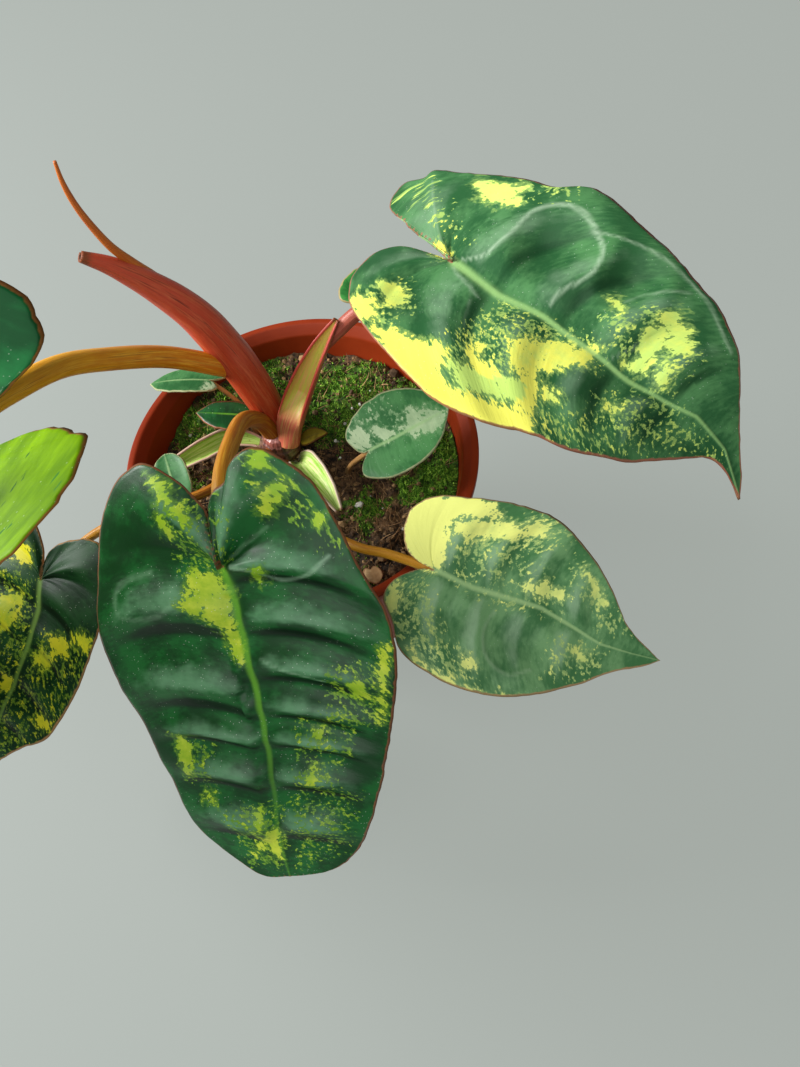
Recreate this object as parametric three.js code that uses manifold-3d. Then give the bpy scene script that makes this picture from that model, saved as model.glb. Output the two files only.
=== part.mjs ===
// A potted philodendron with variegated leaves: a round nursery pot filled with soil, one short
// stem, six large heart-shaped leaves on long stalks, a red sheath with the next leaf rolled up
// in it, small leaves of the young plant, and two bud scales.
// Millimetres, +Z up. The origin is the centre of the pot's underside, which is also what the
// plant rests on. The front of the plant, with leaf 1, is towards -Y.
import * as THREE from "three";
import { mergeVertices } from "three/addons/utils/BufferGeometryUtils.js";
import Module from "manifold-3d";

const wasm = await Module();
wasm.setup();

// Clearances and thicknesses
const gap = 0.3; // between pieces that touch
const bladeThickness = 0.9;
const smallBladeThickness = 0.8;

// The pot: a tapered wall with a rolled lip and a ring of drain holes round a solid centre
const pot = {
  height: 95,
  rimRadius: 60.5,
  baseRadius: 41,
  wall: 1.8,
  floor: 2.6,
  lipHeight: 4,
  lipOverhang: 1.7,
  lipWidth: 2.2,
  lipEdge: 0.4,
  bevel: 0.8,
  shoulderDrop: 20,
  shoulderStep: 1,
  shoulderRise: 1.5,
  floorCorner: 4,
  sides: 44,
  holes: 8,
  holeRadius: 3.5,
  holeRing: 28,
};

// The soil: its top lies below the rim, rolls gently, and rises to a mound at the stem and to a
// bank against the wall. spread is the squared width of both.
const soil = {
  belowRim: 11.6,
  roll: 1.1,
  mound: 2.2,
  bank: 3.4,
  bankCentre: [-24, 48],
  spread: 500,
  rings: 6,
  sides: 32,
};
const soilTop = pot.height - soil.belowRim;

// The stem: a short stock, thickest at its collar just above the soil
const stem = {
  centre: [-5.6, 10.8],
  stations: [
    { z: 62, radius: 2.4 },
    { z: 74, radius: 4.6 },
    { z: 85, radius: 6.2 },
    { z: 88, radius: 7.4 },
    { z: 90.5, radius: 6.9 },
    { z: 93, radius: 5.6 },
    { z: 96, radius: 4 },
  ],
};

// Colours
const colours = {
  pot: "#c4572f",
  soil: "#3a2c20",
  stem: "#6e4535",
  petiole: "#b5702a",
  redPetiole: "#a4493c",
  sheath: "#a33f33",
  roll: "#b9651f",
  darkGreen: "#1d4a2c",
  midGreen: "#3f7a3c",
  lime: "#9dbf2c",
  greyGreen: "#6f9a7c",
  paleGreen: "#b9cf86",
  olive: "#8a8230",
  tan: "#b98f5c",
};

// The large leaves and the small ones. A leaf's own plane has its origin at the sinus, where the
// stalk meets the blade; "along" runs from there to the tip and "out" runs to either side, left
// or right as seen from above with the tip pointing away. turn rolls the blade about its midrib.
// fold lifts both halves like an open book, less so towards the tip where relax is given; cup
// bends them, and arch bows the blade lengthwise.
// Outlines hold [along, out] from the sinus round a lobe to the tip; midrib holds [along, left].
// quilt is the height of the bulges between the side veins, which meet the midrib at the
// distances in furrows, or in rightFurrows on the right where they differ. sweep bends those
// veins towards the tip. Each dimple is a round hollow: [along, left, radius, depth].
const leaves = [
  {
    name: "leaf_1_blade",
    sinus: [-30, -48.5, 124],
    tip: [-49, -117.5, 48],
    turn: -17,
    fold: 0,
    cup: -0.03,
    arch: 0.09,
    colour: "darkGreen",
    left: [
      [-7, -1.6], [-14, -2.4], [-20, -1.6], [-24, 3.5], [-29, 6], [-32.6, 12], [-30, 19.5],
      [-23, 28.6], [-13, 34.2], [0, 39.8], [13, 45.8], [25, 47.4], [42, 45], [62, 40], [85, 32],
      [96, 24.5], [102, 16],
    ],
    right: [
      [-8, 4], [-15, 4.6], [-19, 7], [-24, 11.5], [-28.5, 20], [-28, 26], [-22, 34], [-10, 41],
      [9, 46], [26, 48.6], [42, 44], [56, 38], [80, 31.5], [94, 26], [103, 15], [107.5, 7],
    ],
    midrib: [[12, 2.6], [25, 3.4], [40, 5], [59, 5.2], [75, 4.2], [92, 2.4]],
    end: [106, 3],
    sweep: 0.01,
    furrows: [-26, -8, 6, 22, 36, 48, 58, 73, 92],
    rightFurrows: [-26, -2, 23, 47, 58, 74, 94],
    quilt: 2.8,
    rows: 34,
  },
  {
    name: "leaf_2_blade",
    sinus: [60, 9.5, 148],
    tip: [112, -78.5, 118],
    turn: -6,
    fold: 0.25,
    cup: -0.03,
    arch: 0.45,
    colour: "darkGreen",
    left: [
      [-4, 1.4], [-12, 4], [-19, 5.4], [-25, 8], [-32.5, 11], [-35.2, 16], [-34.6, 21], [-30, 24],
      [-28.4, 27.5], [-19, 29], [-1, 33], [10, 34], [19, 38.4], [32, 36.4], [48, 34], [61, 32],
      [73, 29], [80, 25.5], [90, 16], [98, 8.4], [103, 4.4],
    ],
    right: [
      [-5, 0.8], [-13, 0.2], [-18.5, 1.4], [-22.4, 5], [-23.4, 11], [-20.6, 21], [-13, 30],
      [0, 36], [18, 41], [29, 42.2], [40, 39.5], [50, 34], [63, 28.6], [76, 19], [86, 6.5],
      [92, -0.6], [98, -1.6],
    ],
    midrib: [[10, -1.8], [19, -2.6], [32, -1], [50, -1], [62, -0.6], [72, 2], [82, 5.6], [94, 5.4]],
    end: [106.7, 0],
    sweep: 0.026,
    furrows: [-24, -8, 18, 39, 59, 76],
    quilt: 1.5,
    dimples: [[21, 19, 11, 3.2], [45, 21, 8, 2], [1, -15, 10, 2]],
    rows: 24,
  },
  {
    name: "leaf_3_blade",
    sinus: [26, -61.5, 104],
    tip: [82, -105, 84],
    turn: -12,
    fold: 0.06,
    cup: -0.01,
    arch: 0.1,
    colour: "midGreen",
    left: [
      [-2.5, 0.4], [-6.4, 1.2], [-10.4, 4.4], [-13, 11], [-11.5, 17.5], [-5, 22.4], [4, 25],
      [16, 27.8], [28, 28.4], [37, 25], [46, 19.6], [54, 12], [61, 5.4], [67, 2],
    ],
    right: [
      [-4, 1.2], [-7.5, 4.2], [-10.6, 8], [-10.8, 13.5], [-6, 19], [-2, 25], [5, 28.2], [16, 30],
      [27, 29], [38, 25], [50, 17.4], [60, 9.5], [69, 4],
    ],
    midrib: [[13, -1], [26, 0], [34, 0.6], [43, -1], [54, -3], [64, -2]],
    end: [73.4, -0.6],
    furrows: [-16, -4, 10, 22, 36, 50],
    quilt: 1,
    dimples: [[29, -12, 8, 2.2], [7, -13, 7, 1.6]],
    rows: 20,
  },
  {
    name: "leaf_4_blade",
    sinus: [21.2, -14, 104],
    tip: [49.5, -12.5, 110],
    turn: -8,
    fold: 0.22,
    cup: 0,
    arch: 0.1,
    colour: "greyGreen",
    left: [
      [-2, 0.4], [-4.2, 3.6], [-4.6, 8.4], [0, 12.2], [5.6, 14.4], [13, 14.8], [20, 12.6],
      [25.6, 8.2],
    ],
    right: [
      [-1.5, 1], [-4.2, 4], [-4.6, 7.4], [-1.6, 10.6], [4, 13.4], [10, 14], [17, 12.4], [24, 7],
    ],
    midrib: [[10, -0.6]],
    end: [29.1, 0],
    quilt: 0,
    rows: 12,
    small: true,
  },
  {
    name: "leaf_5_blade",
    sinus: [-86.7, -34.8, 175.8],
    tip: [-147.9, -17.8, 65.9],
    turn: 22,
    fold: 0.68,
    relax: 0.7,
    cup: 0,
    arch: 0.72,
    colour: "lime",
    left: [
      [-10, 2], [-23, 4], [-36, 9], [-42, 18], [-39.6, 31], [-28, 42], [-10, 51], [13, 55],
      [36, 54], [58, 48], [77, 40], [97, 28], [114, 14], [122, 6.4],
    ],
    right: [
      [-10, 2], [-23, 4], [-36, 9], [-42, 18], [-39.6, 31], [-28, 42], [-10, 51], [13, 55],
      [36, 54], [58, 49], [78, 41], [98, 28.6], [114, 14.4], [122, 6],
    ],
    midrib: [[38, 1.6], [77, 2.2]],
    end: [127.4, 0],
    sweep: 0.012,
    furrows: [-26, -11, 9, 28, 47, 66, 86],
    quilt: 1.4,
    rows: 22,
  },
  {
    name: "leaf_6_blade",
    sinus: [-90.4, -16.6, 98],
    tip: [-144.2, -60.6, 52],
    turn: 0,
    fold: 0.03,
    cup: 0,
    arch: 0.12,
    colour: "darkGreen",
    left: [
      [-5, -1.6], [-10, -1], [-14, 2], [-18, 8], [-19, 14], [-14, 21], [-5, 26], [8, 28.4],
      [20, 28.8], [34, 27.6], [45, 23.5], [53, 16], [61, 9.5], [71, 4],
    ],
    right: [
      [-6, 2.4], [-10, 5], [-14, 10], [-17, 17], [-16, 24], [-9, 30.5], [3, 34], [16, 35],
      [30, 32], [43, 27], [55, 19], [66, 10], [75, 3.5],
    ],
    midrib: [[9, 4], [18, 5.4], [34, 6], [50, 4.6], [66, 2]],
    end: [81, 0],
    furrows: [-16, -5, 9, 22, 36, 50, 62],
    quilt: 1.2,
    rows: 20,
  },
  {
    name: "small_leaf_a",
    sinus: [-21.5, 34.5, 104.5],
    tip: [-42, 42.5, 103],
    turn: -15,
    fold: 0.12,
    cup: 0,
    arch: 0.2,
    colour: "greyGreen",
    left: [[-2, 1], [-3.4, 3.4], [-2, 6], [2, 7.4], [9, 7.4], [17, 5]],
    right: [[-2.4, 1], [-5, 2.6], [-4.4, 4.6], [1, 5.8], [9, 5.8], [17, 4.2]],
    midrib: [[10, 0.3]],
    end: [22, 0],
    quilt: 0,
    rows: 8,
    small: true,
  },
  {
    name: "small_leaf_b",
    sinus: [-14, 23, 95],
    tip: [-30, 30, 96],
    turn: 10,
    fold: 0.25,
    cup: 0,
    arch: 0.15,
    colour: "darkGreen",
    left: [[-1.5, 0.8], [-2.5, 3], [0, 5.4], [5, 6.6], [11, 5.6], [15, 2.8]],
    right: [[-1.5, 0.8], [-2.5, 2.6], [0, 4.2], [5, 4.8], [11, 4], [15, 2]],
    midrib: [[8, 0.2]],
    end: [17.7, 0],
    quilt: 0,
    rows: 8,
    small: true,
  },
  {
    name: "small_leaf_c",
    sinus: [-43, -1.5, 96],
    tip: [-43.5, 14.5, 99],
    turn: 8,
    fold: 0.15,
    cup: 0,
    arch: 0.1,
    colour: "greyGreen",
    left: [[-1.5, 0.8], [-2.5, 3], [0, 5.4], [5, 6.6], [11, 5.8], [15, 3.4]],
    right: [[-1.5, 0.8], [-2.5, 3], [0, 5.2], [5, 6.4], [11, 5.8], [15, 3.4]],
    midrib: [[8, 0.2]],
    end: [16.4, 0],
    quilt: 0,
    rows: 8,
    small: true,
  },
  {
    name: "small_leaf_d",
    sinus: [38, 33, 121],
    tip: [60, 44, 116],
    turn: 0,
    fold: 0.15,
    cup: 0,
    arch: 0.2,
    colour: "midGreen",
    left: [[-2, 0.8], [-5, 3], [-6, 7], [-2, 10.5], [6, 11.6], [15, 8.6], [21, 4]],
    right: [[-2, 0.8], [-5, 3], [-6, 7], [-2, 10.5], [6, 11.6], [15, 8.6], [21, 4]],
    midrib: [[10, 0.3]],
    end: [25.1, 0],
    quilt: 0,
    rows: 9,
    small: true,
  },
];

// Stalks: route holds points of the centre line from the base, radii the half-thickness at evenly
// spaced stations along it. Later stalks give way to earlier ones where their bases clasp.
const stalks = [
  {
    name: "petiole_2",
    route: [
      [-2.2, 11.5, 84], [-0.7, 12.9, 96], [5.6, 14.8, 108], [15.6, 16.4, 120], [25.5, 16.7, 130],
      [35.5, 15.5, 138], [47.5, 11.8, 144.8], [59.6, 9.8, 146.6],
    ],
    radii: [3.8, 3.6, 3.2, 2.9, 2.6, 2.3, 2.1, 2],
    colour: "redPetiole",
  },
  {
    name: "petiole_1",
    route: [
      [-5, 10.5, 86], [-7.4, 11.8, 97], [-9.6, 10.4, 106], [-13.9, 4, 116], [-18.4, -8, 123.5],
      [-23.5, -21.8, 127.8], [-26.8, -34, 127], [-29.3, -46.4, 122.4],
    ],
    radii: [3.2, 3, 2.8, 2.7, 2.7, 2.6, 2.5, 2.3],
    colour: "petiole",
  },
  {
    name: "petiole_5",
    route: [
      [-5, 14.6, 84], [-4.6, 21, 95], [-5, 23.5, 104], [-9.4, 23.6, 116], [-17, 19.6, 128],
      [-28.6, 16.7, 140], [-41.5, 10.4, 152], [-51.6, 4, 161], [-60.6, -5.3, 168],
      [-71.1, -16.5, 173.5], [-86.3, -34.3, 174.6],
    ],
    radii: [4, 3.8, 3.6, 3.4, 3.3, 3.3, 3.2, 3.1, 3, 2.8, 2.6],
    colour: "petiole",
  },
  {
    name: "petiole_3",
    route: [
      [-3.4, 8, 86], [-7.2, 2, 88.6], [-7.6, -9, 92.4], [-4, -24, 96], [2.4, -38, 99.2],
      [8.6, -45.6, 101.2], [14.4, -50, 102], [20.6, -55.8, 103], [25.8, -61.2, 103.7],
    ],
    radii: [1.9, 1.7, 1.6, 1.6, 1.6, 1.6, 1.5, 1.5, 1.4],
    colour: "petiole",
  },
  {
    name: "petiole_6",
    route: [
      [-6, 9.5, 87], [-12.6, 5, 94], [-21, -0.5, 98.5], [-31.5, -8, 103], [-44, -10.8, 106],
      [-57, -11.6, 108], [-68, -11, 105.6], [-78.6, -12.6, 102.6], [-90, -16.3, 97.8],
    ],
    radii: [1.9, 1.7, 1.6, 1.6, 1.5, 1.5, 1.5, 1.4, 1.4],
    colour: "petiole",
  },
  {
    name: "petiole_4",
    route: [[13, -4, 76], [13.6, -6, 84], [15, -9, 92], [17.2, -12, 98.5], [21, -13.9, 103.6]],
    radii: [1, 1, 0.9, 0.9, 0.9],
    colour: "tan",
  },
  {
    name: "small_petiole_a",
    route: [[-12, 24, 78], [-12.6, 25.4, 86], [-14, 28, 94], [-17.4, 31, 100], [-21.4, 34.3, 104]],
    radii: [0.9, 0.9, 0.9, 0.8, 0.8],
    colour: "tan",
  },
  {
    name: "small_petiole_b",
    route: [[-11.6, 19, 78], [-12.4, 20.4, 86], [-13, 21.6, 91], [-13.9, 22.9, 94.6]],
    radii: [0.9, 0.8, 0.8, 0.8],
    colour: "tan",
  },
  {
    name: "small_petiole_c",
    route: [[-38, -2, 78], [-39.5, -2.2, 86], [-41.5, -2, 92], [-43, -1.4, 95.6]],
    radii: [0.9, 0.8, 0.8, 0.8],
    colour: "tan",
  },
  {
    name: "small_petiole_d",
    route: [[6, 21, 76], [6.8, 22, 86], [10.6, 24.6, 98], [19.6, 28.6, 111], [37.6, 32.8, 120.6]],
    radii: [1, 1, 1, 0.9, 0.9],
    colour: "midGreen",
  },
];

// Scales: long, thin, trough-shaped leaves, open towards facing. width is the distance across,
// opening the share of the way round that is open, at evenly spaced stations along the route.
const scales = [
  {
    name: "red_sheath",
    route: [
      [-4.4, 15, 85], [-5, 16.8, 97], [-6.6, 18.8, 110], [-10.3, 22.4, 126], [-16.2, 26.8, 142],
      [-24.2, 30, 154], [-32.6, 31.5, 164], [-39, 31.6, 170],
    ],
    facing: [0.45, 0.8, 0.3],
    radii: [4.6, 5.4, 6, 6.2, 5.8, 4.8, 3.4, 1.6],
    opening: [0, 0, 0, 0.3, 0.9, 1, 1, 1],
    wall: 0.9,
    colour: "sheath",
  },
  {
    name: "petiole_2_sheath",
    route: [
      [-2.4, 7.6, 93], [0, 9, 101], [6, 11, 112], [13.5, 13.4, 122.4], [19.5, 15.2, 129],
      [24, 16.4, 133.4],
    ],
    facing: [-0.5, -0.6, 0.6],
    radii: [3.8, 4.6, 4.6, 3.9, 2.8, 1],
    opening: [0, 0.4, 1, 1, 1, 1],
    wall: 0.9,
    colour: "redPetiole",
  },
  {
    name: "left_bud_scale",
    route: [
      [-9.4, 12.6, 87], [-15, 17, 89], [-22, 19.3, 90.6], [-32, 16.8, 92], [-41, 15, 91.5],
      [-48, 14.6, 89.4],
    ],
    facing: [-0.1, -0.5, 0.9],
    radii: [1.4, 2.8, 3.8, 3.8, 3, 1.2],
    opening: [1, 1, 1, 1, 1, 1],
    wall: 0.9,
    colour: "paleGreen",
  },
  {
    name: "right_bud_scale",
    route: [[-2.2, 4.6, 88], [-0.6, 0.2, 93], [1.8, -8, 95.5], [4.2, -16.5, 95], [6, -24, 91]],
    facing: [0.1, -0.3, 0.95],
    radii: [3.4, 4.8, 4.6, 3.4, 1.4],
    opening: [1, 1, 1, 1, 1],
    wall: 0.9,
    colour: "paleGreen",
  },
];

// The next leaf, still rolled up, comes out of the sheath
const roll = {
  route: [
    [-11.6, 23.4, 125], [-16, 28.4, 138], [-19.6, 31, 147], [-22.8, 32.3, 154.5],
    [-26.9, 32.6, 162], [-30.4, 32.8, 169], [-32.8, 34.2, 176], [-34.2, 35.2, 183],
    [-34.5, 36.2, 189], [-34, 37.4, 194],
  ],
  radii: [1.6, 2.2, 2.2, 2, 1.8, 1.5, 1.3, 1.1, 0.9, 0.5],
};

// Dead pieces: a curled olive leaf at the collar and a dry tan scrap on the soil
const deadLeaves = [
  {
    name: "dead_leaf",
    sinus: [1.3, 8.2, 90],
    tip: [11.1, 6.7, 92.3],
    turn: 10,
    outline: [[0.2, 1.2], [1.6, 3.2], [5, 3.6], [9, 1.6]],
    end: [10.4, 0],
    colour: "olive",
  },
  {
    name: "dry_scrap",
    sinus: [9.2, -45, 84.3],
    tip: [9.6, -51, 84.9],
    turn: 15,
    outline: [[-1.2, 1.6], [1, 3], [3.6, 3], [5.4, 1.4]],
    end: [6, 0],
    colour: "tan",
  },
];

// Materials
const rough = { soil: 1, pot: 0.55, sheath: 0.35, darkGreen: 0.35, midGreen: 0.4, lime: 0.4 };
function materialOf(colour) {
  return new THREE.MeshStandardMaterial({
    color: colours[colour],
    roughness: rough[colour] ?? 0.5,
    metalness: 0,
    name: colour,
  });
}

// Solids and meshes
function toSolid(geometry) {
  const bare = new THREE.BufferGeometry()
    .setAttribute("position", geometry.getAttribute("position"))
    .setIndex(geometry.index);
  const merged = mergeVertices(bare, 1e-4);
  return new wasm.Manifold(
    new wasm.Mesh({
      numProp: 3,
      vertProperties: merged.attributes.position.array,
      triVerts: new Uint32Array(merged.index.array),
    }),
  );
}

function toGeometry(solid) {
  const mesh = solid.getMesh();
  const geometry = new THREE.BufferGeometry();
  geometry.setAttribute("position", new THREE.BufferAttribute(mesh.vertProperties, 3));
  geometry.setIndex(new THREE.BufferAttribute(mesh.triVerts, 1));
  return geometry;
}

// A closed solid from a list of points and a list of triangles, turned the right way out.
function closedSolid(points, triangles) {
  const geometry = new THREE.BufferGeometry();
  const flat = new Float32Array(points.flatMap((p) => [p.x, p.y, p.z]));
  geometry.setAttribute("position", new THREE.BufferAttribute(flat, 3));
  geometry.setIndex(triangles.flat());
  return toSolid(geometry);
}

// Cuts the given solids away and keeps the largest body that is left.
function carve(solid, cutters) {
  const left = cutters.reduce((body, cutter) => body.subtract(cutter), solid);
  return left.decompose().sort((a, b) => b.volume() - a.volume())[0];
}

function vector(p) {
  return new THREE.Vector3(...p);
}

// The value at t, from 0 to 1, in a list of evenly spaced stations.
function between(list, t) {
  const at = t * (list.length - 1);
  const i = Math.min(Math.floor(at), list.length - 2);
  return THREE.MathUtils.lerp(list[i], list[i + 1], at - i);
}

// A closed body swept along a smooth route. outlineAt(t) gives its outline across the route, as
// [side, front] pairs, counter-clockwise; front leans towards facing.
function sweep(route, steps, facing, outlineAt) {
  const curve = new THREE.CatmullRomCurve3(route.map(vector));
  const front = vector(facing);
  const points = [];
  const triangles = [];
  const first = outlineAt(0);
  const count = first.length;
  for (let i = 0; i <= steps; i++) {
    const t = i / steps;
    const tangent = curve.getTangentAt(t);
    const side = front.clone().cross(tangent).normalize();
    const ahead = tangent.clone().cross(side);
    for (const [a, b] of outlineAt(t)) {
      points.push(curve.getPointAt(t).addScaledVector(side, a).addScaledVector(ahead, b));
    }
  }
  for (let i = 0; i < steps; i++) {
    for (let j = 0; j < count; j++) {
      const a = i * count + j;
      const b = i * count + ((j + 1) % count);
      triangles.push([a, b, b + count], [a, b + count, a + count]);
    }
  }
  const flat = (outline) => outline.map(([a, b]) => new THREE.Vector2(a, b));
  const last = steps * count;
  for (const [a, b, c] of THREE.ShapeUtils.triangulateShape(flat(first), [])) {
    triangles.push([a, c, b]);
  }
  for (const [a, b, c] of THREE.ShapeUtils.triangulateShape(flat(outlineAt(1)), [])) {
    triangles.push([last + a, last + b, last + c]);
  }
  return closedSolid(points, triangles);
}

function roundOutline(radius, sides) {
  return Array.from({ length: sides }, (_, j) => {
    const angle = (2 * Math.PI * j) / sides;
    return [radius * Math.cos(angle), radius * Math.sin(angle)];
  });
}

// A round stalk, its radius grown by extra where it cuts room for itself in its neighbours.
const stalkFacing = [0.2, 0.9, 0.35];
function stalkSolid(stalk, extra = 0) {
  const sides = stalk.radii[0] > 1.5 ? 8 : 6;
  const steps = stalk.route.length + 4;
  return sweep(stalk.route, steps, stalkFacing, (t) =>
    roundOutline(between(stalk.radii, t) + extra, sides),
  );
}

// The outline of a scale: a full round where it is closed, and a trough where it is open.
const scaleArc = 5; // flats along the outer face
const slit = 0.3; // the share of a half turn that the trough leaves open at its mouth
function scaleOutline(radius, opening, wall) {
  const half = (slit * Math.PI) / 2;
  const outer = [];
  const inner = [];
  for (let j = 0; j <= scaleArc; j++) {
    const share = j / scaleArc;
    const back = Math.PI / 2 + half + share * 2 * (Math.PI - half);
    outer.push([radius * Math.cos(back), radius * Math.sin(back)]);
    const front = Math.PI / 2 - half + share * 2 * half;
    const trough = back - share * 4 * (Math.PI - half) + 2 * (Math.PI - half);
    const within = radius - wall;
    const closed = [radius * Math.cos(front), radius * Math.sin(front)];
    const open = [within * Math.cos(trough), within * Math.sin(trough)];
    inner.push([
      THREE.MathUtils.lerp(closed[0], open[0], opening),
      THREE.MathUtils.lerp(closed[1], open[1], opening),
    ]);
  }
  return [...outer, ...inner];
}

function scaleSolid(scale, extra = 0) {
  const steps = scale.route.length + 4;
  return sweep(scale.route, steps, scale.facing, (t) =>
    scaleOutline(between(scale.radii, t) + extra, between(scale.opening, t), scale.wall + 2 * extra),
  );
}

// The room a scale takes up, hollow and all.
function scaleRoom(scale) {
  return sweep(scale.route, scale.route.length + 4, scale.facing, (t) =>
    roundOutline(between(scale.radii, t) + gap, 10),
  );
}

// Blades
const lobeVeinReach = 15; // millimetres of vein position for each radian turned into a lobe
const veinLean = -0.3; // side veins start out leaning back from the tip
const veinSweep = 0.02; // and sweep on towards it by this much for each squared millimetre out

function leafFrame(leaf) {
  const sinus = vector(leaf.sinus);
  const along = vector(leaf.tip).sub(sinus);
  const length = along.length();
  along.normalize();
  const up = new THREE.Vector3(0, 0, 1);
  up.addScaledVector(along, -up.dot(along)).normalize();
  const turn = THREE.MathUtils.degToRad(leaf.turn);
  const across = up.clone().cross(along);
  const normal = up.multiplyScalar(Math.cos(turn)).addScaledVector(across, Math.sin(turn));
  return { sinus, along, left: normal.clone().cross(along), normal, length };
}

// How far towards the tip a side vein has run where it is at distance out from the midrib.
function veinRun(leaf, out) {
  return veinLean * out + (leaf.sweep ?? veinSweep) * out * out;
}

// Where on the midrib the side vein through a point starts; negative in the lobes, where the
// veins fan out from the sinus.
function veinPosition(leaf, u, v) {
  const out = Math.abs(v);
  const start = u - veinRun(leaf, out);
  if (start >= 0) return start;
  const first = Math.atan2(out, veinRun(leaf, out));
  const angle = Math.atan2(out, u);
  return -lobeVeinReach * Math.max(0, angle - first);
}

// The height of a blade above its plane: fold, cup and arch, bulges between the furrows, dimples.
function bladeHeight(leaf, length, u, v, share) {
  const t = u / length;
  const fold = leaf.fold * (1 - (leaf.relax ?? 0) * Math.max(t, 0));
  let height = fold * (Math.sqrt(v * v + 9) - 3) + (leaf.cup * v * v) / 30;
  height += leaf.arch * length * t * (1 - t);
  if (leaf.quilt > 0) {
    const at = veinPosition(leaf, u, v);
    const furrows = v > 0 ? leaf.furrows : (leaf.rightFurrows ?? leaf.furrows);
    const i = furrows.findLastIndex((f) => f <= at);
    if (i >= 0 && i < furrows.length - 1) {
      const phase = (at - furrows[i]) / (furrows[i + 1] - furrows[i]);
      const pocket = Math.pow(4 * share * (1 - share), 0.7) * (0.25 + 0.75 * (1 - share * share));
      height += leaf.quilt * pocket * Math.sin(Math.PI * phase) ** 2;
    }
  }
  for (const [du, dv, radius, depth] of leaf.dimples ?? []) {
    const r = Math.hypot(u - du, v - dv) / radius;
    height += depth * (0.5 * Math.exp(-((r - 1.25) ** 2) / 0.08) - Math.exp(-(r ** 2) / 0.6));
  }
  return height;
}

// The points of a margin, evenly spaced from the sinus round the lobe to the tip.
function marginPoints(leaf, side) {
  const sign = side === "left" ? 1 : -1;
  const points = [[0, 0], ...leaf[side].map(([u, out]) => [u, sign * out]), leaf.end];
  return new THREE.SplineCurve(points.map((p) => new THREE.Vector2(...p))).getSpacedPoints(leaf.rows);
}

// The point of the midrib that each row starts from, the same for both halves.
function midribPoints(leaf, left, right) {
  const line = [[0, 0], ...leaf.midrib, leaf.end].map((p) => new THREE.Vector2(...p));
  const start = (point) => point.x - veinRun(leaf, Math.abs(point.y));
  let reached = 0;
  return left.map((point, i) => {
    reached = Math.max(reached, (start(point) + start(right[i])) / 2);
    reached = i === leaf.rows ? leaf.end[0] : Math.min(reached, leaf.end[0]);
    return new THREE.Vector2(reached, polyline(line, reached));
  });
}

// The sideways place, at distance u along, of a line through the given points.
function polyline(points, u) {
  const i = Math.min(Math.max(points.findIndex((p) => p.x >= u), 1), points.length - 1);
  const a = points[i - 1];
  const b = points[i];
  return THREE.MathUtils.lerp(a.y, b.y, (u - a.x) / (b.x - a.x));
}

// A blade: both halves as rows of points from the midrib to the margin, the same rows on the
// upper and the lower face, and a rim that joins the two all the way round.
const columns = [0, 0.18, 0.45, 0.75, 1];
const smallColumns = [0, 0.5, 1];
function bladeSolid(leaf, thickness) {
  const frame = leafFrame(leaf);
  const shares = leaf.small ? smallColumns : columns;
  const keys = new Map();
  const flat = [];
  const place = (u, v, share) => {
    const key = Math.round(u * 100) + "," + Math.round(v * 100);
    if (!keys.has(key)) {
      keys.set(key, flat.length);
      flat.push([u, v, bladeHeight(leaf, frame.length, u, v, share)]);
    }
    return keys.get(key);
  };
  const faces = [];
  const margins = { left: marginPoints(leaf, "left"), right: marginPoints(leaf, "right") };
  const ribs = midribPoints(leaf, margins.left, margins.right);
  for (const side of ["left", "right"]) {
    const grid = ribs.map((rib, i) => {
      const edge = margins[side][i];
      return shares.map((share) => {
        const bow = (leaf.sweep ?? veinSweep) * (edge.y - rib.y) ** 2 * share * (1 - share);
        const u = THREE.MathUtils.lerp(rib.x, edge.x, share) - bow;
        return place(u, THREE.MathUtils.lerp(rib.y, edge.y, share), share);
      });
    });
    margins[side] = grid.map((row) => row[shares.length - 1]);
    for (let i = 0; i < leaf.rows; i++) {
      for (let j = 0; j < shares.length - 1; j++) {
        const [a, b] = [grid[i][j], grid[i][j + 1]];
        const [c, d] = [grid[i + 1][j + 1], grid[i + 1][j]];
        for (const face of [[a, b, c], [a, c, d]]) {
          if (side === "left") face.reverse();
          if (new Set(face).size === 3) faces.push(face);
        }
      }
    }
  }
  const points = [0.5, -0.5].flatMap((half) =>
    flat.map(([u, v, w]) =>
      frame.sinus
        .clone()
        .addScaledVector(frame.along, u)
        .addScaledVector(frame.left, v)
        .addScaledVector(frame.normal, w + half * thickness),
    ),
  );
  const under = flat.length;
  const triangles = [...faces, ...faces.map(([a, b, c]) => [a + under, c + under, b + under])];
  const loop = [...margins.left, ...margins.right.slice(1, -1).reverse()];
  loop.forEach((a, i) => {
    const b = loop[(i + 1) % loop.length];
    triangles.push([a, b, b + under], [a, b + under, a + under]);
  });
  return closedSolid(points, triangles);
}

// A plain dead leaf has the same outline on both sides.
function deadLeaf(piece) {
  return {
    ...piece,
    fold: 0.3,
    cup: 0,
    arch: 0.3,
    quilt: 0,
    left: piece.outline,
    right: piece.outline,
    midrib: [[piece.end[0] / 2, 0]],
    rows: 6,
    small: true,
  };
}

// The pot
function outerRadius(z) {
  return THREE.MathUtils.lerp(pot.baseRadius, pot.rimRadius - pot.lipOverhang, z / pot.height);
}

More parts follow.
